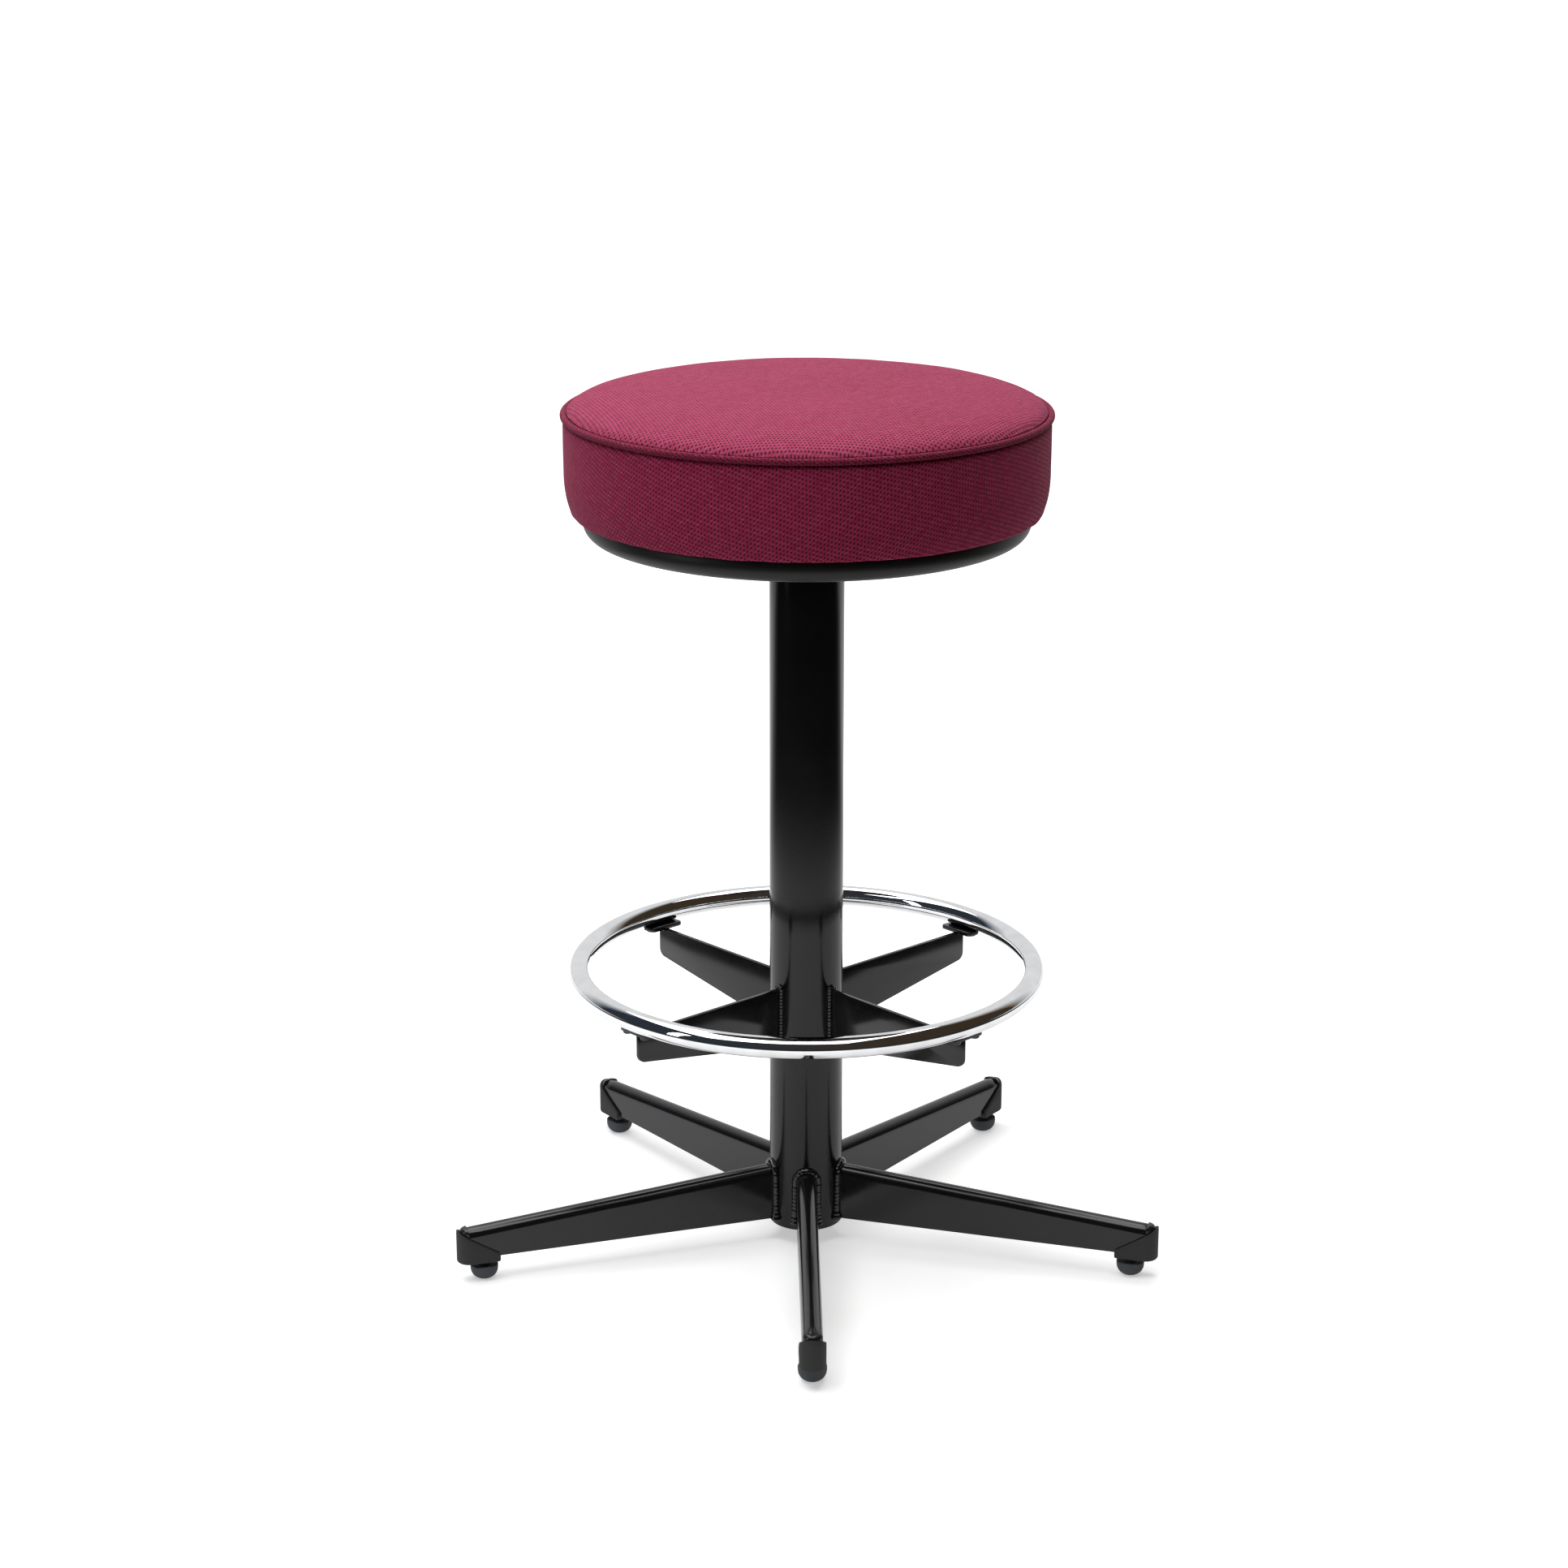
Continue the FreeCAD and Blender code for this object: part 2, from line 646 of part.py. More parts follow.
os.makedirs("parts", exist_ok=True)
write_base()
write_footrest()
write_bearing()
write_seat()
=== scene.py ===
"""The looks of a round bar stool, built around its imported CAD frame. Metres, +Z up."""
import logging
import math
import random
from dataclasses import dataclass
from enum import Enum
from typing import Iterable, Sequence

import bmesh
import bpy
from mathutils import Matrix, Vector, noise
from mathutils.bvhtree import BVHTree


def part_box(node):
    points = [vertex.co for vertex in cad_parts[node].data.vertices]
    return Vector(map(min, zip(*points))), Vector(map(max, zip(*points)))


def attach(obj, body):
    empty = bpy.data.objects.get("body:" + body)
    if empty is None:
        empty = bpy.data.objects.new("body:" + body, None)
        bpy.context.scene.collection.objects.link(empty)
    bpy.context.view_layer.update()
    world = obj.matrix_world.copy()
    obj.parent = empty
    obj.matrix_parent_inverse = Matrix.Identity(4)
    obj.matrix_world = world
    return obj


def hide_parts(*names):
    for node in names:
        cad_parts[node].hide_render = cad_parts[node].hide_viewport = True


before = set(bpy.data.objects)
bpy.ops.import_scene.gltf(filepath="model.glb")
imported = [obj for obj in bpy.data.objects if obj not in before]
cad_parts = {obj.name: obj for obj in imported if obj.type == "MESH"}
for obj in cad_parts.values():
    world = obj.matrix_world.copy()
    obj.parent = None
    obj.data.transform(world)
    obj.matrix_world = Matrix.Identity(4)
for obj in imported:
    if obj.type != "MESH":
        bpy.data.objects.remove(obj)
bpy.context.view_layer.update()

LOG = logging.getLogger("bar_stool")
MM = 0.001
TURN = 2.0 * math.pi
Point = tuple[float, float]
Place = tuple[float, float, float]
Wires = tuple[list[Vector], list[tuple[int, int]]]
Colour = tuple[float, float, float]
Obj = bpy.types.Object
Socket = bpy.types.NodeSocket
Tree = bpy.types.NodeTree


# ---- mesh helpers ------------------------------------------------------------------------

def link(obj: Obj) -> Obj:
    """Put an object in the scene and return it."""
    bpy.context.scene.collection.objects.link(obj)
    return obj


def mesh_piece(name: str, points: Iterable[Vector], faces: Iterable[Sequence[int]],
               sharp: float = 32.0) -> Obj:
    """Make a smooth-shaded object from points and faces.

    Args:
        name: the piece's name.
        points: its vertices, in metres.
        faces: tuples of vertex numbers, turned outwards.
        sharp: edges that bend by more than this many degrees stay sharp.

    Returns:
        The new object, at the origin.
    """
    mesh = bpy.data.meshes.new(name)
    mesh.from_pydata([tuple(p) for p in points], [], [tuple(f) for f in faces])
    mesh.validate()
    mesh.update()
    shade(mesh, sharp)
    return link(bpy.data.objects.new(name, mesh))


def shade(mesh: bpy.types.Mesh, sharp: float) -> None:
    """Smooth shading, with edges over `sharp` degrees kept sharp."""
    mesh.polygons.foreach_set("use_smooth", [True] * len(mesh.polygons))
    mesh.set_sharp_from_angle(angle=math.radians(sharp))


def grid_faces(rows: int, columns: int, wrap_rows: bool,
               wrap_columns: bool) -> list[tuple[int, ...]]:
    """Quads over a grid of points numbered row by row.

    Args:
        rows: number of rows.
        columns: points in each row.
        wrap_rows: join the last row to the first.
        wrap_columns: join each row's last point to its first.

    Returns:
        The quads.
    """
    faces = []
    for i in range(rows if wrap_rows else rows - 1):
        for j in range(columns if wrap_columns else columns - 1):
            i2, j2 = (i + 1) % rows, (j + 1) % columns
            faces.append((i * columns + j, i * columns + j2, i2 * columns + j2, i2 * columns + j))
    return faces


def tidy_normals(obj: Obj, sharp: float = 32.0, merge: float = 1e-6) -> Obj:
    """Merge doubled vertices and turn all faces outwards.

    Args:
        obj: the object to mend.
        sharp: the angle that stays sharp, in degrees.
        merge: vertices nearer than this are merged, in metres.

    Returns:
        The same object.
    """
    work = bmesh.new()
    work.from_mesh(obj.data)
    bmesh.ops.remove_doubles(work, verts=work.verts, dist=merge)
    bmesh.ops.dissolve_degenerate(work, edges=work.edges, dist=merge)
    bmesh.ops.recalc_face_normals(work, faces=work.faces)
    work.to_mesh(obj.data)
    work.free()
    shade(obj.data, sharp)
    return obj


def frozen(obj: Obj) -> Obj:
    """Replace an object's mesh by the result of its modifiers, and remove them."""
    bpy.context.view_layer.update()
    graph = bpy.context.evaluated_depsgraph_get()
    mesh = bpy.data.meshes.new_from_object(obj.evaluated_get(graph))
    obj.modifiers.clear()
    obj.data = mesh
    return obj


def bevelled(obj: Obj, width: float, segments: int = 2, angle: float = 35.0) -> Obj:
    """Round off the sharp edges of an object.

    Args:
        obj: the object.
        width: width of the bevel, in metres.
        segments: faces across it.
        angle: edges that bend by more than this many degrees are bevelled.

    Returns:
        The same object, with the bevel in its mesh.
    """
    bevel = obj.modifiers.new("bevel", "BEVEL")
    bevel.width = width
    bevel.segments = segments
    bevel.limit_method = "ANGLE"
    bevel.angle_limit = math.radians(angle)
    bevel.use_clamp_overlap = True
    frozen(obj)
    shade(obj.data, 40.0)
    return obj


def arc(centre: Point, radius: float, start: float, end: float, steps: int) -> list[Point]:
    """Points along an arc.

    Args:
        centre: the arc's centre.
        radius: its radius.
        start: first angle, in degrees.
        end: last angle, in degrees.
        steps: number of spans.

    Returns:
        steps + 1 points.
    """
    angles = [math.radians(start + (end - start) * i / steps) for i in range(steps + 1)]
    return [(centre[0] + radius * math.cos(a), centre[1] + radius * math.sin(a)) for a in angles]


def spline(knots: Sequence[Point], steps: int) -> list[Point]:
    """Smooth line through the knots, `steps` spans to each gap."""
    line = [knots[0]]
    count = len(knots)
    for i in range(count - 1):
        a, b = knots[max(i - 1, 0)], knots[i]
        c, d = knots[i + 1], knots[min(i + 2, count - 1)]
        for step in range(1, steps + 1):
            t = step / steps
            line.append(tuple(
                0.5 * (2 * b[k] + (c[k] - a[k]) * t + (2 * a[k] - 5 * b[k] + 4 * c[k] - d[k]) * t * t
                       + (3 * b[k] - a[k] - 3 * c[k] + d[k]) * t ** 3)
                for k in range(2)))
    return line


def lathe(name: str, outline: Sequence[Point], segments: int = 96, sharp: float = 32.0,
          closed: bool = False, centre: Point = (0.0, 0.0)) -> Obj:
    """Turn an outline of (radius, height) about an upright axis.

    Args:
        name: the piece's name.
        outline: its points, in metres, from the lower pole to the upper one unless closed.
        segments: steps round the axis.
        sharp: the angle that stays sharp, in degrees.
        closed: the outline is a loop that stands clear of the axis.
        centre: where the axis stands.

    Returns:
        The new object.
    """
    points = []
    for radius, height in outline:
        for k in range(segments):
            a = TURN * k / segments
            x, y = centre[0] + radius * math.cos(a), centre[1] + radius * math.sin(a)
            points.append(Vector((x, y, height)))
    faces = grid_faces(len(outline), segments, closed, True)
    return tidy_normals(mesh_piece(name, points, faces, sharp), sharp)


def torus(name: str, ring: float, tube: float, height: float, around: int, across: int) -> Obj:
    """A ring of round tube about the column's axis.

    Args:
        name: the piece's name.
        ring: radius of the tube's centre line.
        tube: radius of the tube.
        height: height of the centre line.
        around: steps along the tube.
        across: steps round the tube.

    Returns:
        The new object.
    """
    points = []
    for i in range(around):
        a = TURN * i / around
        for j in range(across):
            b = TURN * j / across
            out = ring + tube * math.cos(b)
            points.append(Vector((out * math.cos(a), out * math.sin(a),
                                  height + tube * math.sin(b))))
    faces = grid_faces(around, across, True, True)
    return tidy_normals(mesh_piece(name, points, faces, 60.0), 60.0)


def stacked(name: str, points: Sequence[Vector], rows: int) -> Obj:
    """Solid from equal rings of points, one above the other."""
    count = len(points) // rows
    faces = grid_faces(rows, count, False, True)
    faces += [tuple(reversed(range(count))), tuple(range(len(points) - count, len(points)))]
    return tidy_normals(mesh_piece(name, points, faces), 42.0)


def prism(name: str, outline: Sequence[Point], low: float, high: float) -> Obj:
    """Flat outline in X and Y pulled up from one height to another."""
    count = len(outline)
    points = [Vector((x, y, z)) for z in (low, high) for x, y in outline]
    faces = [(i, (i + 1) % count, count + (i + 1) % count, count + i) for i in range(count)]
    faces += [tuple(reversed(range(count))), tuple(range(count, 2 * count))]
    return tidy_normals(mesh_piece(name, points, faces))


def turned(obj: Obj, azimuth: float, name: str) -> Obj:
    """Copy of a piece built along +X, turned to an azimuth.

    Args:
        obj: the piece.
        azimuth: where the copy goes, in degrees from -Y towards +X.
        name: the copy's name.

    Returns:
        The copy.
    """
    copy = link(bpy.data.objects.new(name, obj.data.copy()))
    copy.data.transform(Matrix.Rotation(math.radians(azimuth - 90.0), 4, "Z"))
    copy.data.update()
    return copy


def spun(azimuth: float, points: Iterable[Place]) -> list[Vector]:
    """Points built along +X, turned to an azimuth."""
    spin = Matrix.Rotation(math.radians(azimuth - 90.0), 3, "Z")
    return [spin @ Vector(point) for point in points]


def node_copy(node: str, name: str, sharp: float = 30.0) -> Obj:
    """Copy of a CAD node's mesh with its loose triangles merged.

    Args:
        node: the CAD node.
        name: the copy's name.
        sharp: the angle that stays sharp, in degrees.

    Returns:
        The copy, at the origin.
    """
    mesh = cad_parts[node].data.copy()
    mesh.materials.clear()
    obj = link(bpy.data.objects.new(name, mesh))
    work = bmesh.new()
    work.from_mesh(mesh)
    bmesh.ops.remove_doubles(work, verts=work.verts, dist=2e-6)
    work.to_mesh(mesh)
    work.free()
    shade(mesh, sharp)
    return obj


def half_size(node: str) -> tuple[Vector, Vector]:
    """Centre and half size of a CAD node's box."""
    low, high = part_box(node)
    return (low + high) / 2, (high - low) / 2


# ---- shader helpers ----------------------------------------------------------------------

class Graph:
    """Short calls for adding and linking the nodes of one tree."""

    def __init__(self, tree: Tree) -> None:
        """Start with an empty tree."""
        self.tree = tree
        tree.nodes.clear()

    def add(self, kind: str, inputs: dict | None = None, **settings: object) -> bpy.types.Node:
        """Add a node.

        Args:
            kind: the node's type, such as ShaderNodeMath.
            inputs: values or output sockets by input name or number.
            settings: the node's own properties.

        Returns:
            The node.
        """
        node = self.tree.nodes.new(kind)
        for key, value in settings.items():
            setattr(node, key, value)
        self.fill(node, inputs or {})
        return node

    def fill(self, node: bpy.types.Node, inputs: dict) -> None:
        """Link or set a node's inputs by name or number."""
        for key, value in inputs.items():
            if isinstance(value, Socket):
                self.tree.links.new(value, node.inputs[key])
            else:
                node.inputs[key].default_value = value

    def math(self, operation: str, *values: object) -> Socket:
        """Result of a Math node on up to three values or sockets."""
        node = self.add("ShaderNodeMath", dict(enumerate(values)), operation=operation)
        return node.outputs[0]

    def blend(self, factor: object, first: object, second: object) -> Socket:
        """Mix two colours.

        Args:
            factor: share of the second.
            first: a colour or socket.
            second: a colour or socket.

        Returns:
            The colour socket.
        """
        node = self.add("ShaderNodeMix", {0: factor, 6: first, 7: second}, data_type="RGBA")
        return node.outputs[2]

    def span(self, value: object, low: float, high: float, to_low: float = 0.0,
             to_high: float = 1.0) -> Socket:
        """Map a value from one range to another, clamped."""
        node = self.add("ShaderNodeMapRange", {0: value, 1: low, 2: high, 3: to_low, 4: to_high})
        return node.outputs[0]

    def noise(self, vector: object, scale: float, detail: float = 3.0,
              rough: float = 0.5) -> Socket:
        """Value of a noise texture."""
        node = self.add("ShaderNodeTexNoise",
                        {"Vector": vector, "Scale": scale, "Detail": detail, "Roughness": rough})
        return node.outputs[0]

    def bump(self, height: object, strength: float, distance: float) -> Socket:
        """Normal of a Bump node."""
        inputs = {"Height": height, "Strength": strength, "Distance": distance}
        return self.add("ShaderNodeBump", inputs).outputs[0]


def spaced(inputs: dict) -> dict:
    """Inputs by name, with a space for each _."""
    return {label.replace("_", " "): value for label, value in inputs.items()}


class EffectGroup:
    """Base of a shader node group that several materials use."""

    name = "effect"
    takes: dict[str, tuple[str, float]] = {}
    gives: dict[str, str] = {}

    @classmethod
    def tree(cls) -> Tree:
        """The group's tree, built on first use."""
        found = bpy.data.node_groups.get(cls.name)
        if found:
            return found
        tree = bpy.data.node_groups.new(cls.name, "ShaderNodeTree")
        for label, (kind, value) in cls.takes.items():
            socket = tree.interface.new_socket(label, in_out="INPUT", socket_type=kind)
            if kind == "NodeSocketFloat":
                socket.default_value = value
        for label, kind in cls.gives.items():
            tree.interface.new_socket(label, in_out="OUTPUT", socket_type=kind)
        graph = Graph(tree)
        source = graph.add("NodeGroupInput")
        results = cls.wire(graph, source.outputs)
        graph.add("NodeGroupOutput", results)
        return tree

    @classmethod
    def wire(cls, graph: Graph, given: bpy.types.NodeOutputs) -> dict[str, Socket]:
        """Build the inside of the group and return its outputs by name."""
        raise NotImplementedError

    @classmethod
    def place(cls, graph: Graph, **inputs: object) -> bpy.types.NodeOutputs:
        """Put the group in a material and return its outputs."""
        node = graph.add("ShaderNodeGroup", spaced(inputs), node_tree=cls.tree())
        return node.outputs


class Grain(EffectGroup):
    """Two sizes of even noise, for powder coat, moulded plastic and plate."""

    name = "grain"
    takes = {"Vector": ("NodeSocketVector", 0.0), "Size": ("NodeSocketFloat", 1.0),
             "Patches": ("NodeSocketFloat", 40.0)}
    gives = {"Height": "NodeSocketFloat", "Patch": "NodeSocketFloat"}

    @classmethod
    def wire(cls, graph: Graph, given: bpy.types.NodeOutputs) -> dict[str, Socket]:
        """Fine grain of the given size in millimetres, and large soft patches."""
        scale = graph.math("DIVIDE", 1000.0, given["Size"])
        fine = graph.add("ShaderNodeTexNoise",
                         {"Vector": given["Vector"], "Scale": scale, "Detail": 2.0})
        patch = graph.add("ShaderNodeTexNoise",
                          {"Vector": given["Vector"], "Scale": given["Patches"], "Detail": 3.0})
        return {"Height": fine.outputs[0], "Patch": patch.outputs[0]}


class Wear(EffectGroup):
    """Rubbed edges and settled dust."""

    name = "wear"
    takes = {"Vector": ("NodeSocketVector", 0.0), "Edge": ("NodeSocketFloat", 0.5),
             "Dust": ("NodeSocketFloat", 0.3)}
    gives = {"Rubbed": "NodeSocketFloat", "Dusty": "NodeSocketFloat"}

    @classmethod
    def wire(cls, graph: Graph, given: bpy.types.NodeOutputs) -> dict[str, Socket]:
        """Rubbed where the surface is convex, dusty where it faces up, both broken by noise."""
        geometry = graph.add("ShaderNodeNewGeometry")
        convex = graph.span(geometry.outputs["Pointiness"], 0.52, 0.62)
        spots = graph.span(graph.noise(given["Vector"], 160.0, 4.0), 0.42, 0.62)
        rubbed = graph.math("MULTIPLY", graph.math("MULTIPLY", convex, spots), given["Edge"])
        up = graph.add("ShaderNodeSeparateXYZ", {0: geometry.outputs["Normal"]}).outputs[2]
        facing = graph.span(up, 0.55, 1.0)
        motes = graph.span(graph.noise(given["Vector"], 900.0, 5.0, 0.7), 0.50, 0.72)
        dusty = graph.math("MULTIPLY", graph.math("MULTIPLY", facing, motes), given["Dust"])
        return {"Rubbed": rubbed, "Dusty": dusty}


class Weave(EffectGroup):
    """Open woven cloth: small dark holes in staggered columns, raised thread knots between them."""

    name = "weave"
    takes = {"U": ("NodeSocketFloat", 0.0), "V": ("NodeSocketFloat", 0.0),
             "Pitch U": ("NodeSocketFloat", 5.5), "Pitch V": ("NodeSocketFloat", 1.8),
             "Skew": ("NodeSocketFloat", 0.25)}
    gives = dict.fromkeys(("Height", "Hole", "Thread", "Fleck"), "NodeSocketFloat")
    stagger, upright = 0.58, 0.42

    @classmethod
    def wire(cls, graph: Graph, given: bpy.types.NodeOutputs) -> dict[str, Socket]:
        """Height and masks of a staggered lattice, from U and V in millimetres."""
        along = graph.math("DIVIDE", given["U"], given["Pitch U"])
        skewed = graph.math("MULTIPLY_ADD", given["U"], given["Skew"], given["V"])
        up = graph.math("DIVIDE", skewed, given["Pitch V"])

        def wave(value: Socket, turns: float) -> Socket:
            """Cosine of a value times a number of half turns."""
            return graph.math("COSINE", graph.math("MULTIPLY", value, turns * math.pi))

        cross = graph.math("MULTIPLY", wave(along, 2.0), wave(up, 1.0))
        column = graph.math("MULTIPLY", wave(along, 4.0), cls.upright)
        hole = graph.span(graph.math("MULTIPLY_ADD", cross, cls.stagger, column), 0.10, 0.60)
        knot = graph.span(graph.math("MULTIPLY_ADD", cross, -cls.stagger, column), 0.30, 0.85)
        half = graph.math("MULTIPLY", up, 0.5)
        right = graph.math("FLOOR", graph.math("ADD", along, half))
        left = graph.math("FLOOR", graph.math("SUBTRACT", along, half))
        chance = []
        for layer in (0.5, 7.5):
            cell = graph.add("ShaderNodeCombineXYZ", {0: right, 1: left, 2: layer}).outputs[0]
            chance.append(graph.add("ShaderNodeTexWhiteNoise", {"Vector": cell}).outputs[0])
        height = graph.math("SUBTRACT", graph.math("MULTIPLY_ADD", knot, 0.40, 0.55),
                            graph.math("MULTIPLY", hole, 0.55))
        return {"Height": height, "Hole": hole, "Thread": chance[0],
                "Fleck": graph.math("MULTIPLY", knot, chance[1])}


# ---- finishes ----------------------------------------------------------------------------

def rgba(colour: Colour) -> tuple[float, float, float, float]:
    """The colour with full alpha."""
    return (*colour, 1.0)


METAL_DUST: Colour = (0.30, 0.29, 0.28)
PLASTIC_DUST: Colour = (0.26, 0.25, 0.24)
COAT_ROUGHNESS = 0.04


class Sheen(Enum):
    """How rough the black and plastic surfaces look."""

    MATT = 0.58
    SATIN = 0.38
    SEMI = 0.25
    SILK = 0.15
    GLOSS = 0.05


class Lay(Enum):
    """How the seat cloth lies on a piece."""

    FLAT = "threads run over X and Y"
    ROUND = "threads run round the column's axis and upwards"


@dataclass(frozen=True)
class Finish:
    """A surface finish; each kind wires its own nodes."""

    name: str

    def material(self) -> bpy.types.Material:
        """The finish's material, made on first use."""
        found = bpy.data.materials.get(self.name)
        if found:
            return found
        material = bpy.data.materials.new(self.name)
        material.use_nodes = True
        graph = Graph(material.node_tree)
        place = graph.add("ShaderNodeTexCoord").outputs["Object"]
        shader = graph.add("ShaderNodeBsdfPrincipled")
        graph.add("ShaderNodeOutputMaterial", {"Surface": shader.outputs[0]})
        graph.fill(shader, self.wire(graph, place))
        return material

    def wire(self, graph: Graph, place: Socket) -> dict[str, object]:
        """What the shader's inputs get, by name."""
        raise NotImplementedError


@dataclass(frozen=True)
class Paint(Finish):
    """Sprayed, powder-coated or lacquered metal."""

    tone: Colour
    sheen: Sheen
    grain_mm: float = 1.1
    relief: float = 0.12
    specular: float = 0.5
    coat: float = 0.0
    edge: float = 0.35
    dust: float = 0.25

    def wire(self, graph: Graph, place: Socket) -> dict[str, object]:
        """Orange-peel relief, patchy roughness, rubbed edges and a little dust."""
        grain = Grain.place(graph, Vector=place, Size=self.grain_mm, Patches=26.0)
        wear = Wear.place(graph, Vector=place, Edge=self.edge, Dust=self.dust)
        rubbed = tuple(min(1.0, 3.0 * c + 0.035) for c in self.tone)
        base = graph.blend(graph.span(grain["Patch"], 0.3, 0.7), rgba(self.tone),
                           rgba(tuple(c * 1.35 for c in self.tone)))
        base = graph.blend(wear["Rubbed"], base, rgba(rubbed))
        base = graph.blend(graph.math("MULTIPLY", wear["Dusty"], 0.25), base, rgba(METAL_DUST))
        rough = graph.span(grain["Patch"], 0.3, 0.7, self.sheen.value * 0.9,
                           self.sheen.value * 1.12)
        rough = graph.math("MULTIPLY_ADD", wear["Dusty"], 0.25, rough)
        return {"Base Color": base,
                "Roughness": rough,
                "Normal": graph.bump(grain["Height"], self.relief, 0.0002),
                "Specular IOR Level": self.specular,
                "Coat Weight": self.coat,
                "Coat Roughness": COAT_ROUGHNESS}


@dataclass(frozen=True)
class Plate(Finish):
    """Bright plated or bare metal."""

    tone: Colour
    rough: float
    spread: float = 0.03
    relief: float = 0.02

    def wire(self, graph: Graph, place: Socket) -> dict[str, object]:
        """Faint haze patches and drawn-tube unevenness on a metallic base."""
        grain = Grain.place(graph, Vector=place, Size=6.0, Patches=60.0)
        wear = Wear.place(graph, Vector=place, Edge=0.2, Dust=0.2)
        dull = tuple(c * 0.88 for c in self.tone)
        base = graph.blend(graph.span(grain["Patch"], 0.35, 0.75), rgba(self.tone), rgba(dull))
        rough = graph.span(grain["Patch"], 0.35, 0.75, self.rough, self.rough + self.spread)
        rough = graph.math("MULTIPLY_ADD", wear["Dusty"], 0.12, rough)
        return {"Base Color": base,
                "Roughness": rough,
                "Normal": graph.bump(grain["Height"], self.relief, 0.0003),
                "Metallic": 1.0}


@dataclass(frozen=True)
class Moulded(Finish):
    """Moulded plastic with a fine spark-eroded texture."""

    tone: Colour
    sheen: Sheen
    grain_mm: float = 0.6
    relief: float = 0.25
    specular: float = 0.45

    def wire(self, graph: Graph, place: Socket) -> dict[str, object]:
        """Fine texture, paler scuffs on edges, dust on top."""
        grain = Grain.place(graph, Vector=place, Size=self.grain_mm, Patches=70.0)
        wear = Wear.place(graph, Vector=place, Edge=0.6, Dust=0.35)
        base = graph.blend(graph.span(grain["Patch"], 0.3, 0.7), rgba(self.tone),
                           rgba(tuple(c * 1.3 + 0.002 for c in self.tone)))
        base = graph.blend(graph.math("MULTIPLY", wear["Rubbed"], 0.5), base,
                           rgba(tuple(c * 2.2 + 0.03 for c in self.tone)))
        base = graph.blend(graph.math("MULTIPLY", wear["Dusty"], 0.3), base, rgba(PLASTIC_DUST))
        rough = graph.span(grain["Patch"], 0.3, 0.7, self.sheen.value * 0.88,
                           self.sheen.value * 1.1)
        return {"Base Color": base,
                "Roughness": rough,
                "Normal": graph.bump(grain["Height"], self.relief, 0.00012),
                "Specular IOR Level": self.specular}


@dataclass(frozen=True)
class Plywood(Finish):
    """Birch plywood: rings on the faces, layers on the edge."""

    pale: Colour = (0.62, 0.44, 0.27)
    dark: Colour = (0.36, 0.22, 0.12)
    ply_mm: float = 1.5

    def wire(self, graph: Graph, place: Socket) -> dict[str, object]:
        """Stretched noise for the grain and bands by height for the layers."""
        stretch = graph.add("ShaderNodeMapping", {0: place, 3: (6.0, 90.0, 6.0)})
        figure = graph.noise(stretch.outputs[0], 1.6, 6.0, 0.6)
        height = graph.add("ShaderNodeSeparateXYZ", {0: place}).outputs[2]
        layer = graph.math("SINE", graph.math("MULTIPLY", height, math.pi * 1000.0 / self.ply_mm))
        grain = Grain.place(graph, Vector=place, Size=1.5, Patches=30.0)
        mixed = graph.math("MULTIPLY_ADD", graph.span(layer, -0.2, 0.2), 0.35,
                           graph.span(figure, 0.35, 0.7, 0.0, 0.65))
        base = graph.blend(mixed, rgba(self.pale), rgba(self.dark))
        return {"Base Color": base,
                "Roughness": graph.span(grain["Patch"], 0.3, 0.7, 0.5, 0.68),
                "Normal": graph.bump(figure, 0.3, 0.0002)}


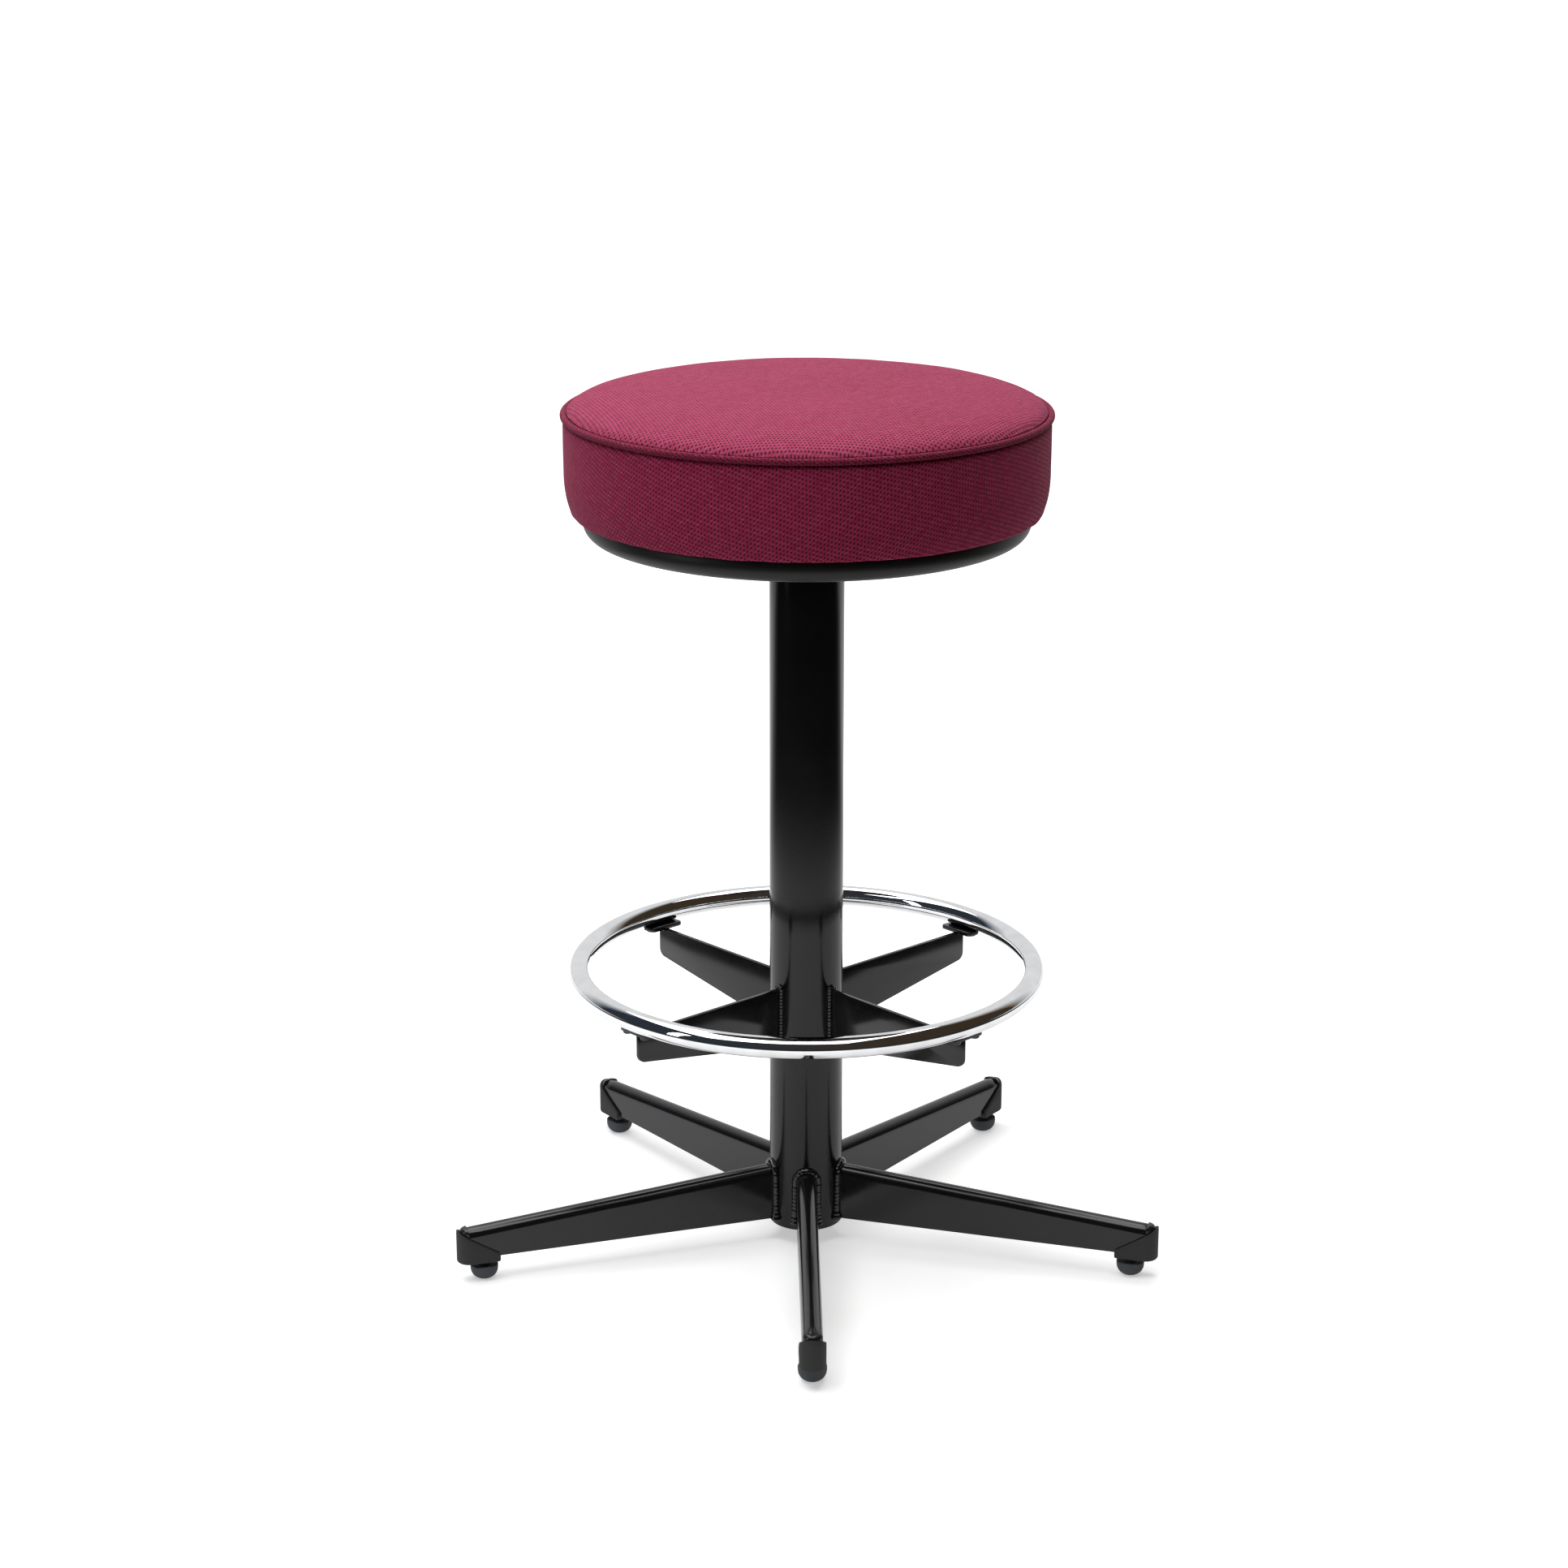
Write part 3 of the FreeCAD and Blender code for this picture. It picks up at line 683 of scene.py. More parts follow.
@dataclass(frozen=True)
class SeatCloth(Finish):
    """Open wine-red weave with lighter flecks in its threads."""

    lay: Lay
    radius: float
    thread: Colour = (0.31, 0.010, 0.048)
    light: Colour = (0.42, 0.038, 0.125)
    # painted shade: the near-black colour put in the holes between threads
    dark: Colour = (0.030, 0.0, 0.002)
    fleck: Colour = (0.44, 0.13, 0.30)
    pitch_mm: tuple[float, float] = (5.54, 1.83)
    skew: float = -0.34
    turn: float = 0.0
    share: float = 0.34
    relief: float = 0.85

    def counts(self, graph: Graph, place: Socket) -> tuple[object, object]:
        """Millimetres along and across the cloth."""
        laid = graph.add("ShaderNodeMapping", {0: place, 2: (0.0, 0.0, math.radians(self.turn))})
        axes = graph.add("ShaderNodeSeparateXYZ", {0: laid.outputs[0]}).outputs
        if self.lay is Lay.FLAT:
            return graph.math("MULTIPLY", axes[0], 1000.0), graph.math("MULTIPLY", axes[1], 1000.0)
        turn = graph.math("ARCTAN2", axes[1], axes[0])
        threads = round(TURN * self.radius * 1000.0 / self.pitch_mm[0])
        round_mm = threads * self.pitch_mm[0] / TURN
        return graph.math("MULTIPLY", turn, round_mm), graph.math("MULTIPLY", axes[2], 1000.0)

    def wire(self, graph: Graph, place: Socket) -> dict[str, object]:
        """Thread colours, with raised knots painted lighter as painted highlight and the holes
        between them painted dark as painted shade; fuzz in the normal and a soft sheen.
        """
        drift = graph.noise(place, 30.0, 2.0)
        along, up = self.counts(graph, place)
        sway = graph.math("MULTIPLY", graph.math("SUBTRACT", drift, 0.5), 1.6)
        weave = Weave.place(graph, U=graph.math("ADD", along, sway), V=graph.math("ADD", up, sway),
                            Pitch_U=self.pitch_mm[0], Pitch_V=self.pitch_mm[1], Skew=self.skew)
        fuzz = graph.noise(place, 1500.0, 3.0, 0.65)
        # painted highlight and shade: the weave's height lightens the raised knots and darkens the
        # low threads
        tone = graph.math("MULTIPLY_ADD", weave["Height"], 0.35,
                          graph.math("MULTIPLY", weave["Thread"], 0.30))
        tone = graph.math("MULTIPLY_ADD", fuzz, 0.35, tone)
        base = graph.blend(graph.span(tone, 0.30, 0.85), rgba(self.thread), rgba(self.light))
        spot = graph.span(weave["Fleck"], 1.0 - self.share, 1.0 - 0.5 * self.share, 0.0, 0.6)
        base = graph.blend(spot, base, rgba(self.fleck))
        # painted shade: the holes between threads are blended towards the dark colour
        base = graph.blend(graph.math("MULTIPLY", weave["Hole"], 0.95), base, rgba(self.dark))
        faded = graph.span(graph.noise(place, 9.0, 2.0), 0.3, 0.7, 0.0, 0.14)
        base = graph.blend(faded, base, rgba(self.light))
        height = graph.math("MULTIPLY_ADD", fuzz, 0.30, weave["Height"])
        return {"Base Color": base,
                "Roughness": graph.span(fuzz, 0.3, 0.7, 0.78, 0.95),
                "Normal": graph.bump(height, self.relief, 0.0007),
                "Specular IOR Level": 0.2,
                "Sheen Weight": 0.06,
                "Sheen Roughness": 0.5,
                "Sheen Tint": rgba((0.95, 0.55, 0.70))}


@dataclass(frozen=True)
class DustCloth(Finish):
    """Thin pressed cloth under the seat, or bare foam."""

    tone: Colour
    fibre_mm: float = 0.5

    def wire(self, graph: Graph, place: Socket) -> dict[str, object]:
        """Matted fibres."""
        grain = Grain.place(graph, Vector=place, Size=self.fibre_mm, Patches=300.0)
        base = graph.blend(graph.span(grain["Patch"], 0.35, 0.65), rgba(self.tone),
                           rgba(tuple(c * 1.9 + 0.004 for c in self.tone)))
        return {"Base Color": base,
                "Roughness": graph.span(grain["Patch"], 0.3, 0.7, 0.8, 0.96),
                "Normal": graph.bump(grain["Height"], 0.5, 0.0002)}


SEAT_R = 0.1916
BLACK_PAINT = Paint("black_powder_coat", (0.0055, 0.0055, 0.0062), Sheen.SILK, relief=0.08,
                    edge=0.15, dust=0.10)
# the column's paint is a darker copy of the black paint on the arms: painted shade
COLUMN_PAINT_SHADED = Paint("column_powder_coat", (0.0030, 0.0030, 0.0033), Sheen.SILK, grain_mm=1.4,
                     relief=0.08,
                     specular=0.42, edge=0.2)
WELD_PAINT = Paint("paint_over_welds", (0.004, 0.004, 0.0045), Sheen.GLOSS, grain_mm=1.6,
                   coat=0.3, edge=0.1)
LACQUER = Paint("black_lacquer", (0.0015, 0.0014, 0.0015), Sheen.GLOSS, grain_mm=9.0, relief=0.02,
                specular=0.6, coat=1.0, edge=0.0, dust=0.05)
BLACKED = Paint("black_oxide", (0.02, 0.02, 0.021), Sheen.SEMI, grain_mm=0.5, edge=0.8)
CHROME = Plate("bright_chrome", (0.94, 0.95, 0.97), 0.025, 0.02, 0.002)
ZINC = Plate("zinc_plate", (0.60, 0.61, 0.62), 0.24, 0.12, 0.08)
CAP_PLASTIC = Moulded("cap_plastic", (0.014, 0.014, 0.014), Sheen.MATT)
CROWN_PLASTIC = Moulded("cap_crown_plastic", (0.010, 0.010, 0.010), Sheen.SEMI, relief=0.08)
GLIDE_PLASTIC = Moulded("glide_plastic", (0.050, 0.062, 0.078), Sheen.MATT)
NYLON = Moulded("nylon", (0.70, 0.69, 0.62), Sheen.SATIN)
PLYWOOD = Plywood("birch_plywood")
# the top cloth is a paler, greyer copy of the band cloth: painted sheen from the light above
TOP_CLOTH_PAINTED_SHEEN = SeatCloth("seat_cloth_top", Lay.FLAT, SEAT_R, turn=-15.0, thread=(0.29, 0.020, 0.056),
                      light=(0.40, 0.055, 0.14))
BAND_CLOTH = SeatCloth("seat_cloth_band", Lay.ROUND, SEAT_R)
HEM_CLOTH = SeatCloth("seat_cloth_hem", Lay.FLAT, SEAT_R, relief=0.5)
# the piping cloth is a darker copy of the band cloth: painted shade along the seam
PIPING_CLOTH_SHADED = SeatCloth("seat_cloth_piping", Lay.ROUND, SEAT_R, pitch_mm=(5.54, 1.3), skew=1.0,
                         thread=(0.17, 0.007, 0.028), light=(0.27, 0.018, 0.065))
DUST_CLOTH = DustCloth("black_dust_cloth", (0.012, 0.012, 0.012))


# ---- geometry node trees -----------------------------------------------------------------

class BeadTree:
    """Sweeps a round bead along wire edges, rippled like a weld and thicker at its ends."""

    name = "bead_along_path"
    sockets = (("Radius", "NodeSocketFloat", 0.002), ("Ripple Pitch", "NodeSocketFloat", 0.002),
               ("Ripple Depth", "NodeSocketFloat", 0.12), ("End Swell", "NodeSocketFloat", 0.0),
               ("Roughness", "NodeSocketFloat", 0.1), ("Sides", "NodeSocketInt", 12),
               ("Seed", "NodeSocketFloat", 1.0), ("Material", "NodeSocketMaterial", None))

    @classmethod
    def tree(cls) -> Tree:
        """The tree, built on first use."""
        found = bpy.data.node_groups.get(cls.name)
        if found:
            return found
        tree = new_geometry_tree(cls.name, cls.sockets)
        graph = Graph(tree)
        given = graph.add("NodeGroupInput").outputs
        path = graph.add("GeometryNodeMeshToCurve", {"Mesh": given["Geometry"]})
        step = graph.math("DIVIDE", given["Ripple Pitch"], 5.0)
        even = graph.add("GeometryNodeResampleCurve", {"Curve": path.outputs[0], "Length": step},
                         mode="LENGTH")
        along = graph.add("GeometryNodeSplineParameter").outputs
        phase = graph.math("DIVIDE", along["Length"], given["Ripple Pitch"])
        ripple = graph.math("ABSOLUTE", graph.math("SINE", graph.math("MULTIPLY", phase, math.pi)))
        ripple = graph.math("MULTIPLY", graph.math("SUBTRACT", ripple, 0.6), given["Ripple Depth"])
        middle = graph.math("ABSOLUTE", graph.math("MULTIPLY_ADD", along["Factor"], 2.0, -1.0))
        swell = graph.math("MULTIPLY", graph.span(middle, 0.86, 1.0), given["End Swell"])
        spot = graph.add("GeometryNodeInputPosition").outputs[0]
        uneven = graph.add("ShaderNodeTexNoise",
                           {"Vector": spot, "W": given["Seed"], "Scale": 260.0,
                                                  "Detail": 2.0}, noise_dimensions="4D").outputs[0]
        uneven = graph.math("MULTIPLY", graph.math("SUBTRACT", uneven, 0.5), given["Roughness"])
        total = graph.math("ADD", graph.math("ADD", ripple, swell), graph.math("ADD", uneven, 1.0))
        ring = graph.add("GeometryNodeCurvePrimitiveCircle", {"Resolution": given["Sides"],
                                                              "Radius": given["Radius"]})
        sweep = graph.add("GeometryNodeCurveToMesh",
                          {"Curve": even.outputs[0], "Profile Curve": ring.outputs[0],
                                                      "Scale": total, "Fill Caps": True})
        smooth = graph.add("GeometryNodeSetShadeSmooth", {"Geometry": sweep.outputs[0]})
        finish_tree(graph, smooth.outputs[0], given["Material"])
        return tree


class ScatterTree:
    """Puts a copy of a small part on every point, turned about Z by each point's own angle."""

    name = "part_on_points"
    sockets = (("Part", "NodeSocketObject", None), ("Jitter", "NodeSocketFloat", 0.0),
               ("Seed", "NodeSocketInt", 3), ("Material", "NodeSocketMaterial", None))

    @classmethod
    def tree(cls) -> Tree:
        """The tree, built on first use."""
        found = bpy.data.node_groups.get(cls.name)
        if found:
            return found
        tree = new_geometry_tree(cls.name, cls.sockets)
        graph = Graph(tree)
        given = graph.add("NodeGroupInput").outputs
        part = graph.add("GeometryNodeObjectInfo", {"Object": given["Part"], "As Instance": True})
        at = graph.add("ShaderNodeSeparateXYZ",
                       {0: graph.add("GeometryNodeInputPosition").outputs[0]}).outputs
        facing = graph.math("ARCTAN2", at[1], at[0])
        drift = graph.add("FunctionNodeRandomValue", {"Seed": given["Seed"]}, data_type="FLOAT")
        drift.inputs[2].default_value, drift.inputs[3].default_value = -1.0, 1.0
        turn = graph.math("MULTIPLY_ADD", drift.outputs[1], given["Jitter"], facing)
        spin = graph.add("ShaderNodeCombineXYZ", {2: turn}).outputs[0]
        placed = graph.add("GeometryNodeInstanceOnPoints", {"Points": given["Geometry"],
                                                            "Instance": part.outputs["Geometry"],
                                                            "Rotation": spin})
        finish_tree(graph, placed.outputs[0], given["Material"])
        return tree


def new_geometry_tree(name: str, sockets: Iterable[tuple[str, str, object]]) -> Tree:
    """Empty geometry tree with a Geometry input and output and the named inputs.

    Args:
        name: the tree's name.
        sockets: label, socket type and default of each input.

    Returns:
        The tree.
    """
    tree = bpy.data.node_groups.new(name, "GeometryNodeTree")
    tree.interface.new_socket("Geometry", in_out="INPUT", socket_type="NodeSocketGeometry")
    tree.interface.new_socket("Geometry", in_out="OUTPUT", socket_type="NodeSocketGeometry")
    for label, kind, value in sockets:
        socket = tree.interface.new_socket(label, in_out="INPUT", socket_type=kind)
        if value is not None:
            socket.default_value = value
    return tree


def finish_tree(graph: Graph, geometry: Socket, material: Socket) -> None:
    """End a geometry tree with Realize Instances and Set Material."""
    solid = graph.add("GeometryNodeRealizeInstances", {"Geometry": geometry})
    dressed = graph.add("GeometryNodeSetMaterial",
                        {"Geometry": solid.outputs[0], "Material": material})
    graph.add("NodeGroupOutput", {"Geometry": dressed.outputs[0]})


def grown(name: str, points: Sequence[Vector], edges: Sequence[tuple[int, int]], tree: Tree,
          **inputs: object) -> Obj:
    """Run a geometry tree on loose points or a wire and keep the result as a plain mesh.

    Args:
        name: the piece's name.
        points: the vertices the tree starts from.
        edges: the wire's edges, if any.
        tree: the geometry tree.
        inputs: its inputs by name, with _ for a space.

    Returns:
        The new piece, without a modifier.
    """
    mesh = bpy.data.meshes.new(name)
    mesh.from_pydata([tuple(p) for p in points], list(edges), [])
    obj = link(bpy.data.objects.new(name, mesh))
    modifier = obj.modifiers.new("nodes", "NODES")
    modifier.node_group = tree
    labels = {item.name: item.identifier for item in tree.interface.items_tree
              if item.in_out == "INPUT"}
    for label, value in inputs.items():
        modifier[labels[label.replace("_", " ")]] = value
    return frozen(obj)


def chain_edges(count: int, start: int = 0, closed: bool = False) -> list[tuple[int, int]]:
    """Edges of a chain of points that starts at a given number."""
    edges = [(start + i, start + i + 1) for i in range(count - 1)]
    return edges + [(start + count - 1, start)] if closed else edges


def wired(lines: Iterable[Sequence[Vector]]) -> Wires:
    """Open chains of points as one wire."""
    points: list[Vector] = []
    edges: list[tuple[int, int]] = []
    for line in lines:
        edges += chain_edges(len(line), len(points))
        points += line
    return points, edges


def side_line(inner: float, outer: float, y: float, z: float) -> list[Place]:
    """Eight points along +X between two radii."""
    return [(inner + (outer - inner) * k / 7, y, z) for k in range(8)]


# ---- sub-assemblies ----------------------------------------------------------------------

def dressed(obj: Obj, body: str, slot: str, finishes: Sequence[Finish],
            nodes: Sequence[str] = ()) -> Obj:
    """Give a finished piece its finish and body, and hide the CAD nodes it stands for.

    Args:
        obj: the piece.
        body: the CAD body it moves with.
        slot: the record's material slot; not used.
        finishes: one finish for each material index.
        nodes: CAD nodes it replaces.

    Returns:
        The same object.
    """
    indices = [polygon.material_index for polygon in obj.data.polygons]
    obj.data.materials.clear()
    for finish in finishes:
        obj.data.materials.append(finish.material())
    obj.data.polygons.foreach_set("material_index", [min(i, len(finishes) - 1) for i in indices])
    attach(obj, body)
    if nodes:
        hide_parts(*nodes)
    LOG.info("%s: %d faces, on %s", obj.name, len(obj.data.polygons), body)
    return obj


def weld(name: str, body: str, node: str, wires: Wires, **inputs: float) -> None:
    """Grow and dress a weld bead along wires, in place of a CAD node."""
    bead = grown(name, *wires, BeadTree.tree(), Material=WELD_PAINT.material(), **inputs)
    dressed(bead, body, "black_paint", [WELD_PAINT], [node])


@dataclass(frozen=True)
class Repeat:
    """A piece built along +X and repeated round the column; {} stands for its number."""

    pattern: Obj
    name: str
    body: str
    slot: str
    finish: Finish
    node: str = ""


def repeated(parts: Sequence[Repeat], azimuths: Sequence[float]) -> None:
    """Dress a copy of each part at every azimuth, then drop the patterns."""
    for number, azimuth in enumerate(azimuths, 1):
        for part in parts:
            copy = turned(part.pattern, azimuth, part.name.format(number))
            nodes = [part.node.format(number)] if part.node else []
            dressed(copy, part.body.format(number), part.slot, [part.finish], nodes)
    for part in parts:
        bpy.data.objects.remove(part.pattern)


@dataclass
class Column:
    """Upright tube with the plastic disc in its lower end."""

    wall: float = 2.5 * MM
    edge: float = 0.5 * MM

    def build(self) -> None:
        """Build and dress the tube and its plug."""
        centre, half = half_size("column")
        low, high, radius = centre.z - half.z, centre.z + half.z, half.x
        inner, e = radius - self.wall, self.edge
        outline = arc((radius - e, low + e), e, -90, 0, 4)
        outline += [(radius, low + (high - low) * k / 12) for k in range(1, 12)]
        outline += arc((radius - e, high - e), e, 0, 90, 4)
        outline += [(inner, high), (inner, (low + high) / 2), (inner, low)]
        tube = lathe("column_tube", outline, 160, closed=True)
        dressed(tube, "base", "black_paint", [COLUMN_PAINT_SHADED], ["column"])
        plug_centre, plug_half = half_size("column_plug")
        bottom, top = plug_centre.z - plug_half.z, plug_centre.z + plug_half.z
        rim = plug_half.x - 0.1 * MM
        dish = rim - 3.0 * MM
        outline = [(0.0, bottom + 1.2 * MM), (dish - 2 * MM, bottom + 1.2 * MM)]
        outline += spline([(dish - 2 * MM, bottom + 1.2 * MM), (dish, bottom + 0.3 * MM),
                           (rim - 0.6 * MM, bottom)], 4)[1:]
        outline += [(rim, bottom + 0.6 * MM), (rim, top), (rim - 2 * MM, top),
                    (rim - 2 * MM, bottom + 4 * MM),
                    (0.0, bottom + 4 * MM)]
        dressed(lathe("column_end_disc", outline, 96), "base", "cap_plastic", [CAP_PLASTIC],
                ["column_plug"])


@dataclass
class StarBase:
    """Five folded-sheet arms, their welds, moulded end caps and levelling glides."""

    count: int = 5
    half: float = 8.0 * MM
    wall: float = 2.0 * MM
    under: float = 20.4 * MM
    root_top: float = 66.4 * MM
    tip_top: float = 45.0 * MM
    tip_radius: float = 290.6 * MM
    column_radius: float = 30.0 * MM
    glide_radius: float = 277.0 * MM
    cap_half: float = 10.5 * MM
    cap_inner: float = 265.5 * MM
    cap_outer: float = 299.5 * MM
    cap_under: float = 15.5 * MM

    def azimuth(self, index: int) -> float:
        """Azimuth of an arm, in degrees."""
        return 360.0 / self.count * index

    def top_at(self, radius: float) -> float:
        """Height of the arm's back at a radius."""
        slope = (self.tip_top - self.root_top) / (self.tip_radius - self.column_radius)
        return self.root_top + slope * (radius - self.column_radius)

    def section(self, top: float, inset: float, sides: int) -> list[Point]:
        """Inverted U from one foot over the back to the other, shrunk by an inset."""
        half = self.half - inset
        crown = arc((0.0, top - self.half), half, 180, 0, sides)
        return [(-half, self.under)] + crown + [(half, self.under)]

    def arm(self, name: str) -> Obj:
        """One arm along +X: a bent sheet with rolled outer edges, coped to the column."""
        sides, stations = 28, 26
        lip = 0.45 * MM
        loops = [(k / stations, 0.0, 0.0) for k in range(stations)]
        loops += [(1.0, -lip, 0.0), (1.0, -0.13 * MM, 0.13 * MM), (1.0, 0.0, lip)]
        points = []
        for share, shift, inset in loops:
            for side, offset in ((1, inset), (-1, self.wall)):
                ring = self.section(self.top_at(self.column_radius), offset, sides)
                if side < 0:
                    ring = ring[::-1]
                for y, z in ring:
                    start = math.sqrt(self.column_radius ** 2 - y * y)
                    x = start + (self.tip_radius - start) * share + shift
                    drop = self.top_at(x) - self.top_at(self.column_radius)
                    lift = 0.0 if z <= self.under + 1e-9 else drop
                    points.append(Vector((x, y, z + lift)))
        width, rows = 2 * (sides + 3), len(loops)
        faces = grid_faces(rows, width, False, True)
        for row in (0, rows - 1):
            for j in range(width // 2 - 1):
                a, b = row * width + j, row * width + j + 1
                c, d = row * width + width - 2 - j, row * width + width - 1 - j
                faces.append((a, b, c, d))
        return tidy_normals(mesh_piece(name, points, faces), 40.0)

    def weld_paths(self) -> Wires:
        """Wire up one side of each arm's root, over its back and down the other side."""
        half, crown = self.half + 1.0 * MM, self.root_top - self.half
        rise = crown - self.under
        line = [(-half, self.under + rise * k / 8) for k in range(8)]
        line += arc((0.0, crown), half, 180, 0, 20)
        line += [(half, crown - rise * k / 8) for k in range(1, 9)]
        reach = (self.column_radius + 0.5 * MM) ** 2
        root = [(math.sqrt(reach - y * y), y, z) for y, z in line]
        return wired(spun(self.azimuth(index), root) for index in range(self.count))

    def cap_body(self) -> Obj:
        """One end cap along +X: rounded shoe with a slanting rim round the arm."""
        nose = self.cap_outer - self.cap_half
        (r0, z0), (r1, z1) = (266.0 * MM, 23.0 * MM), (292.0 * MM, 38.8 * MM)
        slope = (z1 - z0) / (r1 - r0)

        def outline(inset: float) -> list[Point]:
            """Plan of the shoe, shrunk by an inset."""
            half = self.cap_half - inset
            back = self.cap_inner + inset
            side = [(back + (nose - back) * k / 10, -half) for k in range(11)]
            front = arc((nose, 0.0), half, -90, 90, 28)[1:-1]
            other = [(x, half) for x, _ in side][::-1]
            return side + front + other

        levels: list[tuple[float, float | None, float]] = []
        fillet = 2.4 * MM
        for step in range(7):
            a = math.radians(90.0 * step / 6)
            levels.append((fillet * (1 - math.sin(a)),
                           self.cap_under + fillet * (1 - math.cos(a)), 0.0))
        levels += [(inset * MM, None, shift * MM) for inset, shift in
                   ((0.0, -5.0), (0.0, -0.5), (0.15, -0.12), (0.5, 0.0), (2.1, 0.0), (2.45, -0.3),
                    (2.45, -4.5))]
        points = []
        for inset, height, shift in levels:
            for x, y in outline(inset):
                slant = max(z0 + slope * (x - r0) + shift, self.cap_under + 3.0 * MM)
                points.append(Vector((x, y, slant if height is None else height)))
        return stacked("cap_body_part", points, len(levels))

    def cap_crown(self) -> Obj:
        """Raised crown that closes the arm's open end, along +X."""
        start, nose, radius = self.tip_radius + 0.1 * MM, self.cap_outer - self.cap_half, 8.0 * MM
        top, fillet = 45.2 * MM, 4.0 * MM
        low = 24.0 * MM
        levels = [(0.0, low), (0.0, 30.0 * MM), (0.0, 36.0 * MM)]
        levels += [(fillet * (1 - math.cos(math.radians(90 * k / 8))),
                    top - fillet + fillet * math.sin(math.radians(90 * k / 8))) for k in range(9)]
        levels += [(radius * share, top) for share in (0.7, 0.9)]
        limit = math.degrees(math.acos((start - nose) / radius))
        points = []
        for inset, z in levels:
            ring = arc((nose, 0.0), radius - inset, -limit, limit, 32)
            points += [Vector((max(x, start), y, z)) for x, y in ring]
        return stacked("cap_crown_part", points, len(levels))

    def glide(self, name: str) -> Obj:
        """One glide along +X: domed foot with a rim."""
        profile = [(0.0, 0.0), (3.2 * MM, 0.0)]
        profile += spline([(3.5 * MM, 0.02 * MM), (6.4 * MM, 1.0 * MM), (9.1 * MM, 3.1 * MM),
                           (10.7 * MM, 5.9 * MM), (11.25 * MM, 8.6 * MM)], 5)
        profile += [(11.3 * MM, 8.9 * MM), (11.3 * MM, 11.5 * MM)]
        profile += arc((10.6 * MM, 11.5 * MM), 0.7 * MM, 0, 90, 5)[1:]
        profile += [(9.4 * MM, 12.2 * MM), (9.1 * MM, 11.7 * MM), (5.0 * MM, 11.7 * MM),
                    (4.7 * MM, 12.2 * MM),
                    (0.0, 12.2 * MM)]
        return lathe(name, profile, 72, 36.0, centre=(self.glide_radius, 0.0))

    def stud(self, name: str) -> Obj:
        """The threaded stud between foot and cap, with its thread as rings."""
        profile = [(0.0, 11.9 * MM)]
        z = 11.9 * MM
        while z < 27.4 * MM:
            profile += [(2.55 * MM, z), (2.98 * MM, z + 0.25 * MM), (2.98 * MM, z + 0.4 * MM),
                        (2.55 * MM, z + 0.7 * MM)]
            z += 1.0 * MM
        profile += [(2.5 * MM, 27.8 * MM), (0.0, 27.9 * MM)]
        return lathe(name, profile, 32, 36.0, centre=(self.glide_radius, 0.0))

    def build(self) -> None:
        """Build and dress all arms, welds, caps and glides."""
        parts = (Repeat(self.arm("arm_pattern"), "base_arm_{}", "base", "black_paint", BLACK_PAINT,
                        "arm_{}"),
                 Repeat(self.cap_body(), "arm_end_shoe_{}", "base", "cap_plastic", CAP_PLASTIC,
                        "end_cap_{}"),
                 Repeat(self.cap_crown(), "arm_end_crown_{}", "base", "cap_plastic",
                        CROWN_PLASTIC),
                 Repeat(self.glide("glide_pattern"), "levelling_foot_{}", "glide_{}",
                        "glide_plastic", GLIDE_PLASTIC, "glide_foot_{}"),
                 Repeat(self.stud("stud_pattern"), "levelling_stud_{}", "glide_{}", "steel", ZINC,
                        "glide_stud_{}"))
        repeated(parts, [self.azimuth(index) for index in range(self.count)])
        weld("arm_weld_beads", "base", "arm_welds", self.weld_paths(), Radius=3.2 * MM,
             Ripple_Pitch=3.4 * MM, Ripple_Depth=0.14, End_Swell=0.45, Roughness=0.3, Seed=2.0)


